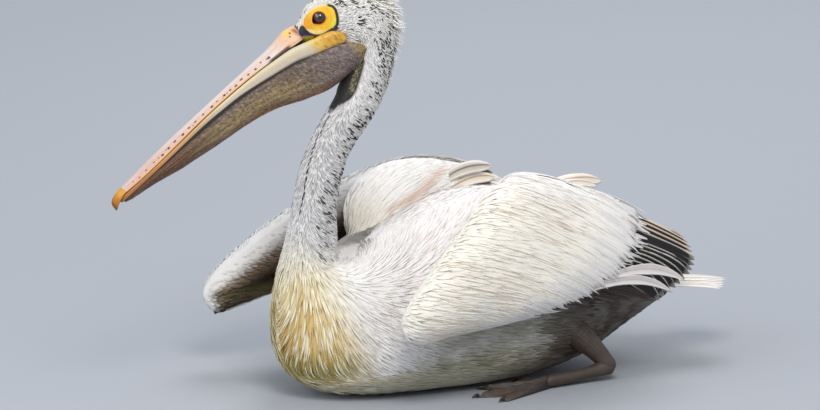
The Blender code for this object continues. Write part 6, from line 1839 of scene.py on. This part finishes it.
def one_piece(name, parts, mirror, mat, nodes):
    V, Q, T, C, base = [], [], [], [], 0
    for v, q, t, c in parts:
        v = v * np.array([mirror, 1, 1])
        if not outward(v - v.mean(0), q, t):
            q, t = q[:, ::-1], t[:, ::-1]
        V.append(v); Q.append(q + base); T.append(t + base); C.append(c)
        base += len(v)
    obj = add_mesh(name, np.concatenate(V), np.concatenate(Q), np.concatenate(T), np.concatenate(C), None, mat)
    return finish_piece(obj, nodes)


def claw(angle, reach):
    a = math.radians(angle)
    d = np.array([math.sin(a), -math.cos(a), 0.0])
    start = np.array([TOE_BASE[0], TOE_BASE[1], 0.0]) + d * (reach + 0.003)
    path = np.array([start + (0, 0, 0.0030), start + d * 0.0042 + (0, 0, 0.0036), start + d * 0.0078 + (0, 0, 0.0026),
                     start + d * 0.0100 + (0, 0, 0.0012)])
    x = np.linspace(0, 3, 22)
    mid, r = spline(path, x), spline(np.array([[0.0024], [0.0022], [0.0014], [0.0004]]), x)
    run = unit(np.gradient(mid, axis=0))
    u = unit(np.cross(run, np.array([0.0, 0.0, 1.0])))
    v = np.cross(u, run)
    t = np.linspace(0, 2 * math.pi, 18, endpoint=False)[None, :, None]
    p = mid[:, None] + r[:, None] * (np.cos(t) * u[:, None] * 0.82 + np.sin(t) * v[:, None])
    p[..., 2] = np.maximum(p[..., 2], 0.0004)
    k = np.linspace(0, 1, 22)[:, None] + 0 * t[..., 0]
    col = mix(np.broadcast_to(srgb(34, 29, 27), p.shape), srgb(96, 84, 70), smooth(k, 0.55, 1.0) * 0.7)
    verts, quads, tris = closed_tube(p)
    return verts, quads, tris, np.concatenate([col.reshape(-1, 3), col[0].mean(0)[None], col[-1].mean(0)[None]])


TIBIA = [(0.070, 0.118, 0.075), (0.082, 0.140, 0.055), (0.091, 0.157, 0.036), ANKLE, ANKLE + (0.002, 0.009, -0.006)]
TARSUS = [ANKLE + (0.0, 0.0095, -0.004), ANKLE + (0.0, 0.0, -0.004), (0.0995, 0.140, 0.0135), (0.101, 0.112, 0.0110),
          (0.1025, 0.0900, 0.0100), (0.1030, 0.0740, 0.0085)]
for side_name, sign in (("left", 1), ("right", -1)):
    shank = limb(TIBIA, (0.0210, 0.0170, 0.0125, 0.0104, 0.0085), 84, 120, 0.0030)
    shin = limb(TARSUS, (0.0095, 0.0104, 0.0076, 0.0074, 0.0078, 0.0062), 72, 170, 0.0027)
    one_piece("leg_skin_" + side_name, [shank, shin], sign, leg_mat, ("leg_" + side_name,))
    one_piece("webbed_foot_" + side_name, [webbed_foot()], sign, leg_mat, ("foot_" + side_name,))
    for number, (angle, reach) in enumerate(TOES, 1):
        one_piece("claw_horn_%s_%d" % (side_name, number), [claw(angle, reach)], sign, claw_mat,
                  ("claw_%s_%d" % (side_name, number),))

# ---------------------------------------------------------------------------
# Floor, studio lights and camera
# ---------------------------------------------------------------------------
def build_stage():
    bm = bmesh.new()
    bmesh.ops.create_grid(bm, x_segments=1, y_segments=1, size=14.0)
    mesh = bpy.data.meshes.new("floor")
    bm.to_mesh(mesh)
    bm.free()
    floor = bpy.data.objects.new("floor", mesh)
    bpy.context.scene.collection.objects.link(floor)
    m, tree, shader = principled("Pale floor", 0.85, 0.2)
    shader.inputs["Base Color"].default_value = (0.36, 0.38, 0.41, 1)
    mesh.materials.append(m)

    world = bpy.data.worlds.new("Studio")
    bpy.context.scene.world = world
    world.use_nodes = True
    back = world.node_tree.nodes["Background"]
    back.inputs["Color"].default_value = (0.78, 0.82, 0.90, 1)
    back.inputs["Strength"].default_value = 0.70

    def lamp(name, place, aim, power, size, colour):
        data = bpy.data.lights.new(name, "AREA")
        data.energy, data.size, data.color = power, size, colour
        obj = bpy.data.objects.new(name, data)
        obj.location = place
        obj.rotation_euler = (Vector(aim) - Vector(place)).to_track_quat("-Z", "Y").to_euler()
        bpy.context.scene.collection.objects.link(obj)

    lamp("key", (2.3, -0.9, 2.7), (0, 0, 0.2), 72.0, 1.3, (1.0, 0.97, 0.92))
    lamp("fill", (0.6, -3.0, 1.6), (0, 0, 0.2), 40.0, 2.4, (0.92, 0.95, 1.0))
    lamp("rear", (-1.9, 1.5, 2.9), (0, 0, 0.2), 62.0, 1.8, (0.97, 0.98, 1.0))


def build_camera():
    data = bpy.data.cameras.new("camera")
    cam = bpy.data.objects.new("camera", data)
    bpy.context.scene.collection.objects.link(cam)
    data.sensor_width, data.lens = 36.0, 842.92
    data.clip_start, data.clip_end = 1.0, 80.0
    target = Vector((0.0, -0.0603, 0.2296))
    back = Vector((0.862, -0.4584, 0.2164)).normalized()
    cam.location = target + back * 24.0
    cam.rotation_euler = back.to_track_quat("Z", "Y").to_euler()
    bpy.context.scene.camera = cam


bpy.context.scene.view_settings.view_transform = "Standard"
build_stage()
build_camera()
